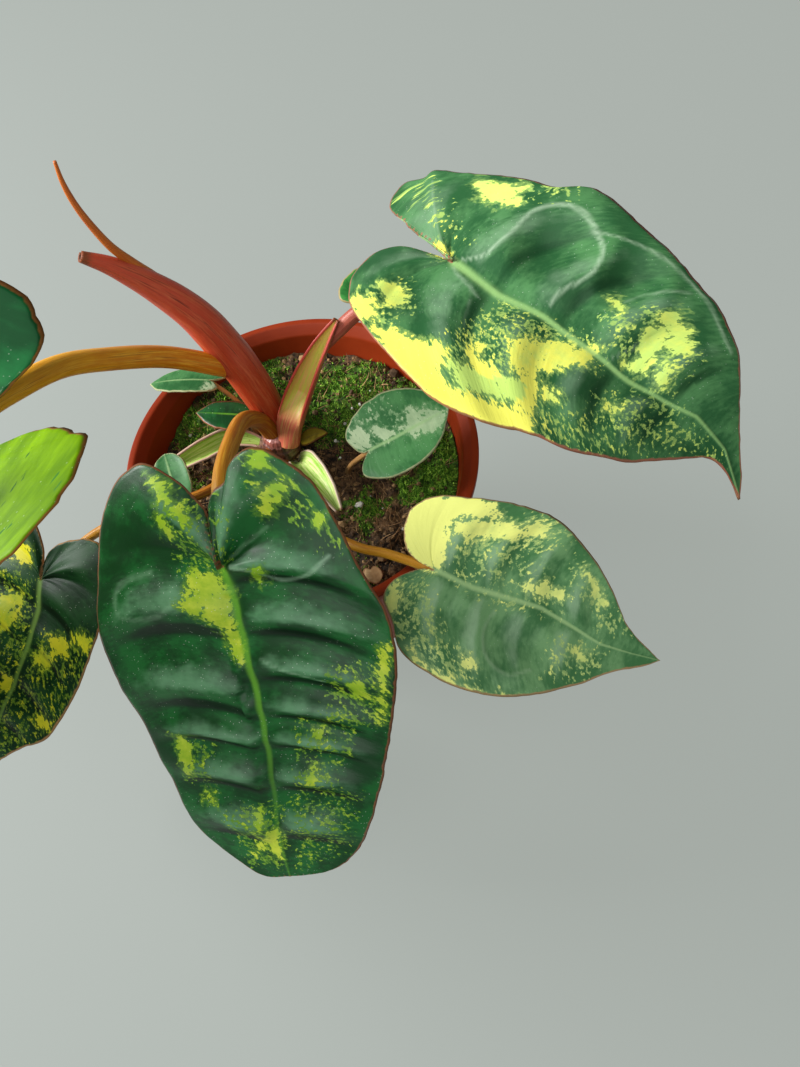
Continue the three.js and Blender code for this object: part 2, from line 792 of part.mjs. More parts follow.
function potGeometry() {
  const lip = pot.height - pot.lipHeight;
  const shoulder = pot.height - pot.shoulderDrop;
  const inside = (z) => outerRadius(z) - pot.shoulderStep - pot.wall;
  const profile = [
    [0, 0],
    [pot.baseRadius - pot.shoulderStep, 0],
    [outerRadius(shoulder) - pot.shoulderStep, shoulder],
    [outerRadius(shoulder + pot.shoulderRise), shoulder + pot.shoulderRise],
    [outerRadius(lip), lip],
    [pot.rimRadius, lip + pot.bevel],
    [pot.rimRadius, pot.height - pot.lipEdge],
    [pot.rimRadius - pot.lipEdge, pot.height],
    [pot.rimRadius - pot.lipWidth, pot.height],
    [inside(lip), lip + pot.bevel],
    [inside(pot.floor + pot.floorCorner), pot.floor + pot.floorCorner],
    [inside(pot.floor) - pot.floorCorner / 2, pot.floor],
    [0, pot.floor],
  ];
  const points = profile.map(([r, z]) => new THREE.Vector2(r, z));
  return new THREE.LatheGeometry(points, pot.sides).rotateX(Math.PI / 2);
}

function potSolid() {
  const holes = Array.from({ length: pot.holes }, (_, i) => {
    const angle = (2 * Math.PI * (i + 0.5)) / pot.holes;
    const drill = new THREE.CylinderGeometry(pot.holeRadius, pot.holeRadius, 3 * pot.floor, 12);
    drill.rotateX(Math.PI / 2);
    drill.translate(pot.holeRing * Math.cos(angle), pot.holeRing * Math.sin(angle), 0);
    return toSolid(drill);
  });
  return carve(toSolid(potGeometry()), holes);
}

// The soil: a plug that fills the pot, with a gently rolling top that rises towards the stem
function soilHeight(x, y) {
  const hill = ([cx, cy]) => Math.exp(-((x - cx) ** 2 + (y - cy) ** 2) / soil.spread);
  const waves = Math.sin(0.13 * x + 1.2) * Math.cos(0.11 * y) + 0.5 * Math.sin(0.21 * (x + y));
  const hills = soil.mound * hill(stem.centre) + soil.bank * hill(soil.bankCentre);
  return soilTop + hills + soil.roll * waves;
}

const wallRelief = 0.4; // keeps the soil's flat facets clear of the pot's
function soilSolid() {
  const inside = (z) => outerRadius(z) - pot.shoulderStep - pot.wall - gap;
  const floor = pot.floor + gap;
  const rim = inside(soilTop) - wallRelief;
  const points = [new THREE.Vector3(0, 0, soilHeight(0, 0))];
  const ring = (radius, heightAt) => {
    for (let j = 0; j < soil.sides; j++) {
      const angle = (2 * Math.PI * j) / soil.sides;
      const [x, y] = [radius * Math.cos(angle), radius * Math.sin(angle)];
      points.push(new THREE.Vector3(x, y, heightAt(x, y)));
    }
  };
  for (let i = 1; i <= soil.rings; i++) {
    ring((rim * i) / soil.rings, soilHeight);
  }
  ring(inside(pot.floor + pot.floorCorner) - wallRelief, () => pot.floor + pot.floorCorner);
  ring(inside(pot.floor) - pot.floorCorner / 2 - wallRelief, () => floor);
  points.push(new THREE.Vector3(0, 0, floor));
  const triangles = [];
  const at = (i, j) => 1 + i * soil.sides + (j % soil.sides);
  const rings = soil.rings + 2;
  for (let j = 0; j < soil.sides; j++) {
    triangles.push([0, at(0, j), at(0, j + 1)]);
    for (let i = 0; i < rings - 1; i++) {
      triangles.push([at(i, j), at(i + 1, j), at(i + 1, j + 1)]);
      triangles.push([at(i, j), at(i + 1, j + 1), at(i, j + 1)]);
    }
    triangles.push([at(rings - 1, j), points.length - 1, at(rings - 1, j + 1)]);
  }
  return closedSolid(points, triangles);
}

// The stem: a round stock turned from its stations
function stemSolid(extra = 0) {
  const [cx, cy] = stem.centre;
  const bottom = stem.stations[0].z - extra;
  const top = stem.stations.at(-1).z + extra;
  const profile = [
    new THREE.Vector2(0, bottom),
    ...stem.stations.map(({ z, radius }) => new THREE.Vector2(radius + extra, z)),
    new THREE.Vector2(0, top),
  ];
  profile[1].y = bottom;
  profile.at(-2).y = top;
  return toSolid(new THREE.LatheGeometry(profile, 14).rotateX(Math.PI / 2).translate(cx, cy, 0));
}

// Assembly. Every piece is cut back by a clearance copy of each piece that it meets.
const plant = new THREE.Group();
function addPiece(name, solid, colour) {
  const mesh = new THREE.Mesh(toGeometry(solid), materialOf(colour));
  mesh.name = name;
  plant.add(mesh);
}

const blades = leaves.map((leaf) => {
  const thickness = leaf.small ? smallBladeThickness : bladeThickness;
  addPiece(leaf.name, bladeSolid(leaf, thickness), leaf.colour);
  return bladeSolid(leaf, thickness + 2 * gap);
});

const taken = [];
for (const scale of scales) {
  const solid = carve(scaleSolid(scale), taken);
  addPiece(scale.name, solid, scale.colour);
  taken.push(scaleRoom(scale));
}
for (const stalk of stalks) {
  addPiece(stalk.name, carve(stalkSolid(stalk), [...taken, ...blades]), stalk.colour);
  taken.push(stalkSolid(stalk, gap));
}
addPiece("rolled_leaf", carve(stalkSolid(roll), [scaleSolid(scales[0], gap)]), "roll");
const dead = deadLeaves.map((piece) => {
  const blade = deadLeaf(piece);
  addPiece(piece.name, carve(bladeSolid(blade, smallBladeThickness), taken), piece.colour);
  return bladeSolid(blade, smallBladeThickness + 2 * gap);
});
addPiece("stem", carve(stemSolid(), [...taken, ...dead]), "stem");
addPiece("soil", carve(soilSolid(), [...taken, ...dead, stemSolid(gap)]), "soil");
addPiece("pot", potSolid(), "pot");

export default plant;
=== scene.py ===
import math

import bpy
import numpy as np
from mathutils import Matrix, Vector


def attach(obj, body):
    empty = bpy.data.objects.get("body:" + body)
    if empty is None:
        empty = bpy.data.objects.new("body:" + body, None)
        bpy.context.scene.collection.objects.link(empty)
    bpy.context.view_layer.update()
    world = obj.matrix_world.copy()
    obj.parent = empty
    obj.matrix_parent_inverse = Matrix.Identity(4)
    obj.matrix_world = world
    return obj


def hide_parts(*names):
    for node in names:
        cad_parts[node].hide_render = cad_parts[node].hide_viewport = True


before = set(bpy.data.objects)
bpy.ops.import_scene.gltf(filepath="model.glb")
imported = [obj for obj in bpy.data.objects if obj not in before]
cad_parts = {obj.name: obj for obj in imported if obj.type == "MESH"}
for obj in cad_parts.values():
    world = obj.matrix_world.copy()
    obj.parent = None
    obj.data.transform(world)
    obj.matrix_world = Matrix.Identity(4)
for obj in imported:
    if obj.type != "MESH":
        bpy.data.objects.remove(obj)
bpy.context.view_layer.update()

# A potted philodendron with variegated leaves. Sizes in the dictionaries are in millimetres, in
# the part's own frame: origin at the centre of the pot's underside, z up, leaf 1 towards -y.
mm = 0.001
weldGrid = 1000  # points are joined on a grid of this many steps to the millimetre
tiny = 1e-9
chance = np.random.default_rng(7)


def gridQuads(rows, columns, closed=False):
    # corners of each cell in a grid of points numbered row by row; closed joins the last column
    # to the first
    i = np.arange(rows - 1)[:, None]
    j = np.arange(columns if closed else columns - 1)[None, :]
    k = (j + 1) % columns
    cell = np.broadcast_arrays(i * columns + j, i * columns + k, (i + 1) * columns + k,
                               (i + 1) * columns + j)
    return np.stack(cell, -1).reshape(-1, 4)


def asTriangles(quads):
    # each cell (a, b, c, d) becomes a, b, c and a, c, d
    return quads[:, [0, 1, 2, 0, 2, 3]].reshape(-1, 3)


def weld(points, triangles, fields):
    # points in the same place become one, and triangles that lose a side go
    keys = np.round(points * weldGrid).astype(np.int64)
    _, first, number = np.unique(keys, axis=0, return_index=True, return_inverse=True)
    triangles = number.reshape(-1)[triangles]
    a, b, c = triangles.T
    triangles = triangles[(a != b) & (b != c) & (a != c)]
    return points[first], triangles, {name: field[first] for name, field in fields.items()}


def facingOut(points, triangles):
    # the sum of a . (b x c) has the sign of the volume; where it is negative the faces are turned
    a, b, c = (points[triangles[:, i]] for i in range(3))
    volume = np.einsum("ij,ij->i", a, np.cross(b, c)).sum()
    return triangles if volume >= 0 else triangles[:, ::-1]


def placed(name, data):
    # an object made from its data and put in the scene
    made = bpy.data.objects.new(name, data)
    bpy.context.scene.collection.objects.link(made)
    return made


def meshOf(name, points, faces):
    # a mesh from points in millimetres
    mesh = bpy.data.meshes.new(name)
    mesh.from_pydata((points * mm).tolist(), [], faces.tolist())
    return mesh


def makePiece(name, points, triangles, node, slot, finish, fields=None, loose=False):
    # a mesh piece in place of a node of the frame; fields are values stored on its vertices, and
    # loose crumbs keep flat faces that already point outward
    points, triangles, fields = weld(points, triangles, fields or {})
    mesh = meshOf(name, points, triangles if loose else facingOut(points, triangles))
    for field, values in fields.items():
        kind, key = ("FLOAT", "value") if values.ndim == 1 else ("FLOAT_VECTOR", "vector")
        layer = mesh.attributes.new(field, kind, "POINT")
        layer.data.foreach_set(key, np.ascontiguousarray(values, dtype=np.float32).ravel())
    mesh.polygons.foreach_set("use_smooth", np.full(len(mesh.polygons), not loose))
    mesh.materials.append(finish.material)
    mesh.update()
    piece = placed(name, mesh)
    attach(piece, "root")
    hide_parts(node)
    return piece


def unit(v):
    # each vector divided by its own length
    return v / np.linalg.norm(v, axis=-1, keepdims=True)


def runLength(line):
    # distance from the start of a line of points to each of them
    return np.concatenate([[0], np.cumsum(np.linalg.norm(np.diff(line, axis=0), axis=1))])


def throughPoints(points, count, centripetal=True, fine=40):
    # a Catmull-Rom curve through the points, fine samples to a piece, cut into count points at
    # equal distances; centripetal spacing uses the root of each distance and reflected end
    # points, plain spacing repeats the ends
    p = np.array(points, float)
    ends = (2 * p[0] - p[1], 2 * p[-1] - p[-2]) if centripetal else (p[0], p[-1])
    q = np.vstack([ends[0], p, ends[1]])
    apart = np.linalg.norm(np.diff(q, axis=0), axis=1)[:, None]
    step = np.sqrt(apart) if centripetal else np.ones_like(apart)
    d0, d1, d2 = step[:-2], step[1:-1], step[2:]
    x0, x1, x2, x3 = q[:-3], q[1:-2], q[2:-1], q[3:]
    m1 = ((x1 - x0) / d0 - (x2 - x0) / (d0 + d1) + (x2 - x1) / d1) * d1
    m2 = ((x2 - x1) / d1 - (x3 - x1) / (d1 + d2) + (x3 - x2) / d2) * d1
    w = np.linspace(0, 1, fine + 1)[:-1][None, :, None]
    x0, x1, m1, m2 = (a[:, None, :] for a in (x1, x2, m1, m2))
    dense = x0 + m1 * w + (3 * (x1 - x0) - 2 * m1 - m2) * w**2 + (m1 + m2 - 2 * (x1 - x0)) * w**3
    dense = np.vstack([dense.reshape(-1, p.shape[1]), p[-1]])
    far = runLength(dense)
    at = np.linspace(0, far[-1], count)
    return np.stack([np.interp(at, far, dense[:, k]) for k in range(p.shape[1])], 1)


def turns(sides):
    # evenly spaced angles round a full turn
    return np.linspace(0, 2 * np.pi, sides, endpoint=False)


def lathe(radius, z, sides, centre=(0, 0)):
    # rings round an upright axis: (cx + r cos a, cy + r sin a, z), radius and z one to a row
    angle = turns(sides)
    x, y = centre[0] + radius * np.cos(angle), centre[1] + radius * np.sin(angle)
    points = np.stack([x, y, np.broadcast_to(z, x.shape)], -1)
    return points.reshape(-1, 3), asTriangles(gridQuads(len(points), sides, True))


def smoothStep(low, high, x):
    # 3 t^2 - 2 t^3, t going from 0 at low to 1 at high
    t = np.clip((x - low) / (high - low), 0, 1)
    return t * t * (3 - 2 * t)


def bell(x, width):
    # exp(-(x / width)^2)
    return np.exp(-((x / width) ** 2))


def stations(values, t):
    # the value at t, from 0 to 1, in a list of evenly spaced ones
    return np.interp(t, np.linspace(0, 1, len(values)), values)


def latticeNoise(x, y, size, seed, cells=64):
    # random heights from -1 to 1 on a square lattice, blended smoothly between its corners
    table = np.random.default_rng(seed).uniform(-1, 1, (cells, cells))
    gx, gy = x / size, y / size
    i, j = np.floor(gx).astype(int), np.floor(gy).astype(int)
    fx, fy = smoothStep(0, 1, gx - i), smoothStep(0, 1, gy - j)
    def corner(a, b):
        # the height a cells further along x and b along y
        return table[(i + a) % cells, (j + b) % cells]
    near = corner(0, 0) * (1 - fx) + corner(1, 0) * fx
    far = corner(0, 1) * (1 - fx) + corner(1, 1) * fx
    return near * (1 - fy) + far * fy


class Value:
    # wraps one output socket; arithmetic on it adds Math nodes
    def __init__(self, finish, socket):
        self.finish, self.socket = finish, socket

    def math(self, operation, *others):
        # one Math node, whose first input is this value
        inputs = dict(enumerate((self, *others)))
        return self.finish.node("ShaderNodeMath", {"operation": operation}, inputs)

    def __add__(self, other): return self.math("ADD", other)
    __radd__ = __add__
    def __mul__(self, other): return self.math("MULTIPLY", other)
    __rmul__ = __mul__
    def __sub__(self, other): return self.math("SUBTRACT", other)
    def __rsub__(self, other): return self * -1 + other

    def swing(self, amount):
        # a noise, which stays near one half, made to swing by amount about nothing
        return (self - 0.5) * amount


class Finish:
    # a material with one Principled shader; fixed holds socket values that never change over it
    def __init__(self, name, fixed):
        self.material = bpy.data.materials.new(name)
        self.material.use_nodes = True
        self.tree = self.material.node_tree
        self.tree.nodes.clear()
        self.shader = self.tree.nodes.new("ShaderNodeBsdfPrincipled")
        output = self.tree.nodes.new("ShaderNodeOutputMaterial")
        self.tree.links.new(self.shader.outputs[0], output.inputs["Surface"])
        self.set(fixed)

    def plug(self, socket, value):
        # a Value is linked to the socket, anything else is set on it, a colour with alpha 1
        if isinstance(value, Value):
            self.tree.links.new(value.socket, socket)
        elif isinstance(value, tuple) and len(socket.default_value) == 4:
            socket.default_value = (*value, 1)
        else:
            socket.default_value = value

    def node(self, kind, settings, inputs, output=0):
        # a new node with its settings and inputs, as the Value of one of its outputs
        made = self.tree.nodes.new(kind)
        for key, value in settings.items():
            setattr(made, key, value)
        for key, value in inputs.items():
            self.plug(made.inputs[key], value)
        return Value(self, made.outputs[output])

    def set(self, sockets):
        # values or links for the shader's own inputs
        for key, value in sockets.items():
            self.plug(self.shader.inputs[key], value)

    def place(self):
        # the point's place on its piece, in metres
        return self.node("ShaderNodeTexCoord", {}, {}, "Object")

    def part(self, whole, axis):
        # x, y or z of a vector, by its number
        return self.node("ShaderNodeSeparateXYZ", {}, {0: whole}, axis)

    def field(self, name, axis=None):
        # a vector stored on the vertices, or one part of it
        whole = self.node("ShaderNodeAttribute", {"attribute_name": name}, {}, "Vector")
        return whole if axis is None else self.part(whole, axis)

    def number(self, name):
        # a number stored on the vertices
        return self.node("ShaderNodeAttribute", {"attribute_name": name}, {}, "Fac")

    def vector(self, x, y, z):
        # a vector from its three parts
        return self.node("ShaderNodeCombineXYZ", {}, {0: x, 1: y, 2: z})

    def stretched(self, where, factors):
        # each part of a vector times its own factor
        return self.node("ShaderNodeVectorMath", {"operation": "MULTIPLY"}, {0: where, 1: factors})

    def noise(self, where, scale, detail=3.0, rough=0.55):
        # smooth noise, mostly from 0.3 to 0.7
        return self.node("ShaderNodeTexNoise", {}, {
            "Vector": where, "Scale": scale, "Detail": detail, "Roughness": rough})

    def ramp(self, value, low, high):
        # eased from 0 where value is low to 1 where it is high
        return self.node("ShaderNodeMapRange", {"interpolation_type": "SMOOTHSTEP"}, {
            "Value": value, "From Min": low, "From Max": high})

    def mix(self, share, first, second):
        # first where share is 0, second where it is 1
        return self.node("ShaderNodeMix", {"data_type": "RGBA"}, {0: share, 6: first, 7: second}, 2)

    def gradient(self, value, stops):
        # colours at positions from 0 to 1
        made = self.node("ShaderNodeValToRGB", {}, {0: value})
        elements = made.socket.node.color_ramp.elements
        while len(elements) < len(stops):
            elements.new(0.5)
        for element, (position, colour) in zip(elements, stops):
            element.position, element.color = position, (*colour, 1)
        return made

    def bump(self, height, strength, distance):
        # a normal tilted as if the surface rose by height times distance
        return self.node("ShaderNodeBump", {}, {
            "Height": height, "Strength": strength, "Distance": distance})


def rgb(red, green, blue):
    # a colour as it looks on screen, 0 to 255, as the linear one that a shader needs
    return tuple((c / 255 / 12.92) if c / 255 <= 0.04045 else ((c / 255 + 0.055) / 1.055) ** 2.4
                 for c in (red, green, blue))


# In a leaf's own plane u runs from the sinus, where the stalk meets it, to the tip and v to the
# left. left and right hold (u, out) round a lobe to the tip; turn, fold, relax, cup and arch set
# the blade as in the solids; furrows are where side veins leave the midrib, quilt the height of
# the bulges between them. dimples are round hollows (u, v, radius, depth) with painted shade in
# them, shades are places of painted shade (u, v, radius, strength) and ridges raised lines with
# a painted highlight along them (width, strength, points). midrib and end are the midrib's own
# points, rows and columns the grid of each half. patches are (tint, outline) of the pale
# variegation, tint 0 lime to 1 lemon, and speckled is (density, outline). banding scales the
# painted shade in the furrows, sweep bends the side veins, and ragged and sway move the margin
# within its plane and out of it.
plainLeaf = dict(turn=0, relax=0, cup=0, quilt=0, rows=60, columns=14, ribWidth=0.4, sweep=0.02,
                 banding=1, ragged=0.25, sway=0.3, dimples=[], shades=[], ridges=[], patches=[],
                 speckled=[])
leaves = {
    "leaf_1_blade": dict(
        sinus=(-30, -48.5, 124), tip=(-49, -117.5, 48), turn=-17, fold=0, cup=-0.03, arch=0.09,
        slot="leaf_dark_green", look="deepGreen",
        left=[(-7, -1.6), (-14, -2.4), (-20, -1.6), (-24, 3.5), (-29, 6), (-32.6, 12), (-30, 19.5),
            (-23, 28.6), (-13, 34.2), (0, 39.8), (13, 45.8), (25, 47.4), (42, 45), (62, 40),
            (85, 32), (96, 24.5), (102, 16)],
        right=[(-8, 2.8), (-15, 3.2), (-19, 6), (-24, 11.2), (-28.5, 20), (-28, 26), (-22, 34),
            (-10, 41), (9, 46), (26, 48.6), (42, 44), (56, 38), (80, 31.5), (94, 26), (103, 15),
            (107.5, 7)],
        midrib=[(12, 2.6), (25, 3.4), (40, 5), (59, 5.2), (75, 4.2), (92, 2.4)],
        end=(106, 3), furrows=[-26, -8, 6, 22, 36, 48, 58, 73, 92],
        rightFurrows=[-26, -2, 23, 47, 58, 74, 94], sweep=0.01, quilt=3.2, rows=210, columns=38,
        ribWidth=1.7,
        ridges=[
            (1, 0.45, [(-2.5, 2.5), (-7.5, 9.1), (-11.3, 14.8)]),
            (0.9, 0.8, [(-0.5, 2.8), (-0.1, 9.2), (3.3, 17.2), (1.3, 25.6), (-3.5, 32)]),
            (1.6, 0.5, [(2.2, -24.2), (6, -35), (10.6, -38.4), (15.5, -37), (15.1, -24.2),
                 (9.2, -14.7)]),
            (0.8, 0.7, [(26.4, 8.7), (29.1, 18), (32.1, 27)]),
        ],
        patches=[
            (0.45, [(2, -11), (2, -5), (2, -1), (7, 1), (14, 1), (22, 3), (28, 2), (27, -1),
                 (21, -2), (16, -5), (13, -11), (9, -14), (7, -10), (5, -12)]),
            (0.35, [(-26, -20), (-24, -15), (-20, -11), (-14, -8), (-13, -9), (-18, -13),
                 (-22, -18)]),
            (0.35, [(-18, -18), (-14, -16), (-9, -13), (-8, -15), (-12, -18)]),
            (0.2, [(-32, 12), (-32, 15), (-30, 17), (-27, 16), (-28, 13)]),
            (0.45, [(-21, 14), (-21, 16), (-19, 19), (-15, 17), (-15, 14)]),
            (0.3, [(-23, 18), (-24, 21), (-22, 23), (-21, 21), (-21, 18)]),
            (0.35, [(-14, 29), (-13, 32), (-12, 31), (-12, 29)]),
            (0.2, [(0, 11), (-1, 13), (2, 13), (4, 10), (3, 9)]),
            (0.5, [(22, 44), (22, 46), (29, 45), (37, 43), (45, 42), (45, 41), (35, 42),
                 (29, 43)]),
            (0.35, [(33, 34), (31, 37), (37, 39), (39, 37), (37, 34)]),
            (0.35, [(48, 21), (48, 24), (50, 23), (50, 21)]),
            (0.35, [(61, 19), (61, 21), (64, 20), (66, 17)]),
            (0.35, [(55, -27), (55, -24), (59, -22), (63, -21), (68, -23), (71, -26), (64, -26),
                 (61, -27)]),
            (0.35, [(75, -20), (75, -17), (79, -18), (79, -21)]),
            (0.3, [(80, -3), (79, 0), (86, -2), (88, -5)]),
            (0.55, [(87, 0), (86, 4), (92, 2), (99, 2), (98, -1), (93, -2), (98, -6), (98, -9),
                 (92, -3)]),
        ],
        speckled=[
            (0.75, [(-26, -20), (-19, -4), (-10, -4), (2, -1), (4, -12), (-7, -16)]),
            (0.8, [(-19, 22), (-19, 28), (-10, 27), (-10, 23)]),
            (0.7, [(-13, 29), (-12, 33), (-5, 35), (-6, 30)]),
            (0.75, [(29, 27), (27, 44), (46, 43), (47, 26)]),
            (0.75, [(47, 17), (46, 33), (55, 32), (57, 15)]),
            (0.65, [(59, 15), (58, 27), (73, 25), (68, 14)]),
            (0.75, [(54, -27), (58, -13), (70, -16), (72, -26)]),
            (0.8, [(80, -13), (77, 6), (102, 2), (104, -11)]),
            (0.6, [(72, 10), (69, 32), (92, 25), (101, 7)]),
            (0.6, [(-20, 0), (-18, 4), (-3, 3), (-2, -1)]),
            (0.5, [(-30, 10), (-24, 26), (-18, 24), (-22, 10)]),
        ]),
    "leaf_2_blade": dict(
        sinus=(60, 9.5, 148), tip=(112, -78.5, 118), turn=-6, fold=0.25, cup=-0.03, arch=0.45,
        slot="leaf_dark_green", look="sageGreen",
        left=[(-4, 1.4), (-12, 4), (-19, 5.4), (-25, 8), (-32.5, 11), (-35.2, 16), (-34.6, 21),
            (-30, 24), (-28.4, 27.5), (-19, 29), (-1, 33), (10, 34), (19, 38.4), (32, 36.4),
            (48, 34), (61, 32), (73, 29), (80, 25.5), (90, 16), (98, 8.4), (103, 4.4)],
        right=[(-5, 0.8), (-13, 0.2), (-18.5, 1.4), (-22.4, 5), (-23.4, 11), (-20.6, 21),
            (-13, 30), (0, 36), (18, 41), (29, 42.2), (40, 39.5), (50, 34), (63, 28.6), (76, 19),
            (86, 6.5), (92, -0.6), (98, -1.6)],
        midrib=[(10, -1.8), (19, -2.6), (32, -1), (50, -1), (62, -0.6), (72, 2), (82, 5.6),
            (94, 5.4)],
        end=(106.7, 0), furrows=[-24, -8, 18, 39, 59, 76], sweep=0.026, quilt=1.5, banding=0.7,
        rows=210, columns=38, ribWidth=1.7,
        dimples=[(21, 19, 11, 3.2), (45, 21, 8, 2), (1, -15, 10, 2)],
        ridges=[
            (0.9, 0.9, [(2, 2), (6.3, 5.4), (8.5, 14.3), (9.3, 23.7), (14.3, 29), (19.8, 30),
                 (26.5, 28), (32, 23.9), (34.7, 15.5), (31.6, 7.6), (31.3, 3)]),
            (0.8, 0.7, [(26.5, 27), (39.9, 30), (49.6, 31), (58.9, 30.4), (68, 28), (77.8, 24)]),
            (0.8, 0.6, [(53.5, 0), (56.3, 6.4), (57.6, 11.3)]),
            (0.8, 0.6, [(58.6, 28.3), (50.3, 21.5), (46.8, 15.8)]),
            (1, 0.7, [(1, -1), (3.7, -3), (14, -7.1)]),
            (0.7, 0.5, [(0, 1), (-8.2, 4.9), (-20.5, 16.4), (-26, 23.1)]),
            (0.8, 0.5, [(10, -4), (17, -16.6), (18.9, -24.5)]),
        ],
        patches=[
            (0.95, [(-3, -33), (11, -30), (19, -27), (23, -35), (28, -38), (33, -35), (40, -32),
                 (49, -29), (52, -33), (46, -38), (30, -44), (12, -41)]),
            (0.1, [(22, -31), (28, -36), (34, -33), (40, -30), (46, -27), (44, -20), (38, -24),
                 (30, -27)]),
            (0.6, [(30, -14), (40, -4), (50, 1), (51, -5), (44, -14), (36, -22)]),
            (0.9, [(36, -18), (40, -15), (44, -19), (49, -29), (45, -31), (41, -24)]),
            (0.85, [(22, -23), (25, -20), (29, -24), (34, -24), (37, -29), (34, -30), (27, -28)]),
            (0.3, [(57, 2), (60, 6), (56, 12), (58, 16), (62, 14), (64, 8), (62, 2)]),
            (0.3, [(60, 14), (56, 18), (59, 22), (66, 20), (69, 16), (66, 13)]),
            (0.3, [(66, 4), (66, 9), (70, 10), (70, 5)]),
            (0.3, [(43, 14), (45, 16), (48, 13), (46, 12)]),
            (0.3, [(-13, 27), (-7, 28), (1, 30), (4, 24), (-1, 22), (-8, 22)]),
            (0.45, [(-12, -19), (-9, -16), (-4, -16), (-1, -21), (-4, -24)]),
            (0.6, [(-15, -27), (-8, -24), (-3, -31), (-7, -33), (-14, -30)]),
            (0.9, [(-11, 3), (-7, 4), (-3, 2), (-5, -1)]),
            (0.5, [(46, -21), (49, -18), (51, -20), (48, -23)]),
            (0.4, [(61, -11), (65, -8), (66, -10), (62, -13)]),
        ],
        speckled=[
            (0.85, [(17, -25), (21, -2), (41, -24), (33, -33)]),
            (0.9, [(22, -6), (49, 3), (54, -4), (31, -14)]),
            (0.75, [(45, 8), (54, 20), (72, 18), (72, 4), (53, 4)]),
            (0.6, [(0, 31), (13, 37), (16, 32), (5, 26)]),
            (0.8, [(-17, -24), (-6, -12), (3, -21), (0, -35), (-14, -32)]),
            (0.55, [(-35, 14), (-11, 9), (0, 8), (-27, 24)]),
            (0.55, [(56, -12), (73, 6), (87, -2), (68, -24)]),
            (0.7, [(47, -26), (61, -18), (70, -23), (54, -34)]),
            (0.6, [(80, 2), (96, 4), (96, 0), (84, -4)]),
        ]),
    "leaf_3_blade": dict(
        sinus=(26, -61.5, 104), tip=(82, -105, 84), turn=-12, fold=0.06, cup=-0.01, arch=0.1,
        slot="leaf_mid_green", look="blueGreen",
        left=[(-2.5, 0.4), (-6.4, 1.2), (-10.4, 4.4), (-13, 11), (-11.5, 17.5), (-5, 22.4),
            (4, 25), (16, 27.8), (28, 28.4), (37, 25), (46, 19.6), (54, 12), (61, 5.4), (67, 2)],
        right=[(-4, 1.2), (-7.5, 4.2), (-10.6, 8), (-10.8, 13.5), (-6, 19), (-2, 25), (5, 28.2),
            (16, 30), (27, 29), (38, 25), (50, 17.4), (60, 9.5), (69, 4)],
        midrib=[(13, -1), (26, 0), (34, 0.6), (43, -1), (54, -3), (64, -2)],
        end=(73.4, -0.6), furrows=[-4, 10, 22, 36, 50], quilt=1, banding=0.25, rows=170,
        columns=30, ribWidth=0.9, dimples=[(29, -12, 8, 2.2), (7, -13, 7, 1.6)],
        shades=[(29, -12, 7, 0.32), (-5, 14, 6, 0.12)],
        ridges=[
            (0.9, 0.6, [(21, -5), (19.5, -12), (23, -19), (30, -21.5), (36, -18)]),
            (0.7, 0.4, [(2, 1), (8, 10), (10, 18)]),
            (0.7, 0.4, [(2, -2), (4, -10), (3, -18)]),
        ],
        patches=[
            (0.95, [(-3, 24), (-10, 20), (-14, 12), (-12, 4), (-6, 0), (-1, -1), (2, 3), (0, 10),
                 (0, 16), (5, 19), (8, 24), (4, 28)]),
            (0.6, [(0, 16), (6, 18), (12, 20), (20, 22), (26, 25), (30, 24), (26, 21), (18, 17),
                 (10, 14), (3, 12)]),
            (0.8, [(1, 17), (2, 24), (10, 25), (14, 22), (6, 19)]),
            (0.5, [(27, 5), (32, 8), (38, 8), (39, 6), (33, 4), (29, 3)]),
            (0.35, [(42, 17), (48, 13), (53, 9), (50, 9), (46, 12)]),
            (0.5, [(2, -25), (6, -28), (16, -31), (28, -30), (36, -27), (28, -29), (16, -29)]),
            (0.5, [(16, -22), (19, -20), (20, -23), (17, -24)]),
            (0.35, [(47, -8), (51, -6), (51, -9), (48, -10)]),
            (0.4, [(-9, -6), (-11, -12), (-7, -18), (-6, -12)]),
        ],
        speckled=[
            (0.9, [(2, 6), (6, 18), (26, 24), (32, 20), (20, 10), (8, 4)]),
            (0.8, [(-8, -6), (0, -4), (8, -16), (22, -26), (36, -27), (28, -31), (4, -28),
                 (-10, -16)]),
            (0.65, [(38, 20), (62, 4), (54, 0), (40, 12)]),
            (0.7, [(24, 2), (26, 8), (42, 10), (40, 4)]),
            (0.6, [(40, -6), (56, -4), (54, -14), (40, -18)]),
            (0.4, [(2, 0), (10, 12), (30, 14), (40, 0), (20, -4)]),
            (0.55, [(24, 28), (40, 24), (30, 18), (20, 24)]),
        ]),
    "leaf_4_blade": dict(
        sinus=(21.2, -14, 104), tip=(49.5, -12.5, 110), turn=-8, fold=0.22, arch=0.1,
        slot="leaf_grey_green", look="greyGreen",
        left=[(-2, 0.4), (-4.2, 3.6), (-4.6, 8.4), (0, 12.2), (5.6, 14.4), (13, 14.8), (20, 12.6),
            (25.6, 8.2)],
        right=[(-1.5, 1), (-4.2, 4), (-4.6, 7.4), (-1.6, 10.6), (4, 13.4), (10, 14), (17, 12.4),
            (24, 7)],
        midrib=[(10, -0.6)], end=(29.1, 0), rows=90, columns=20, ribWidth=0.5,
        patches=[
            (0.4, [(12, 1), (16, 5), (22, 4), (28, 0), (24, -5), (17, -4)]),
            (0.6, [(-5, 3), (-3, 9), (1, 8), (3, 4), (0, 1)]),
            (0.5, [(2, 6), (6, 6), (10, 1), (6, 0)]),
        ],
        speckled=[(0.6, [(-4, 0), (-3, 12), (12, 13), (14, 4), (2, 0)])]),
    "leaf_5_blade": dict(
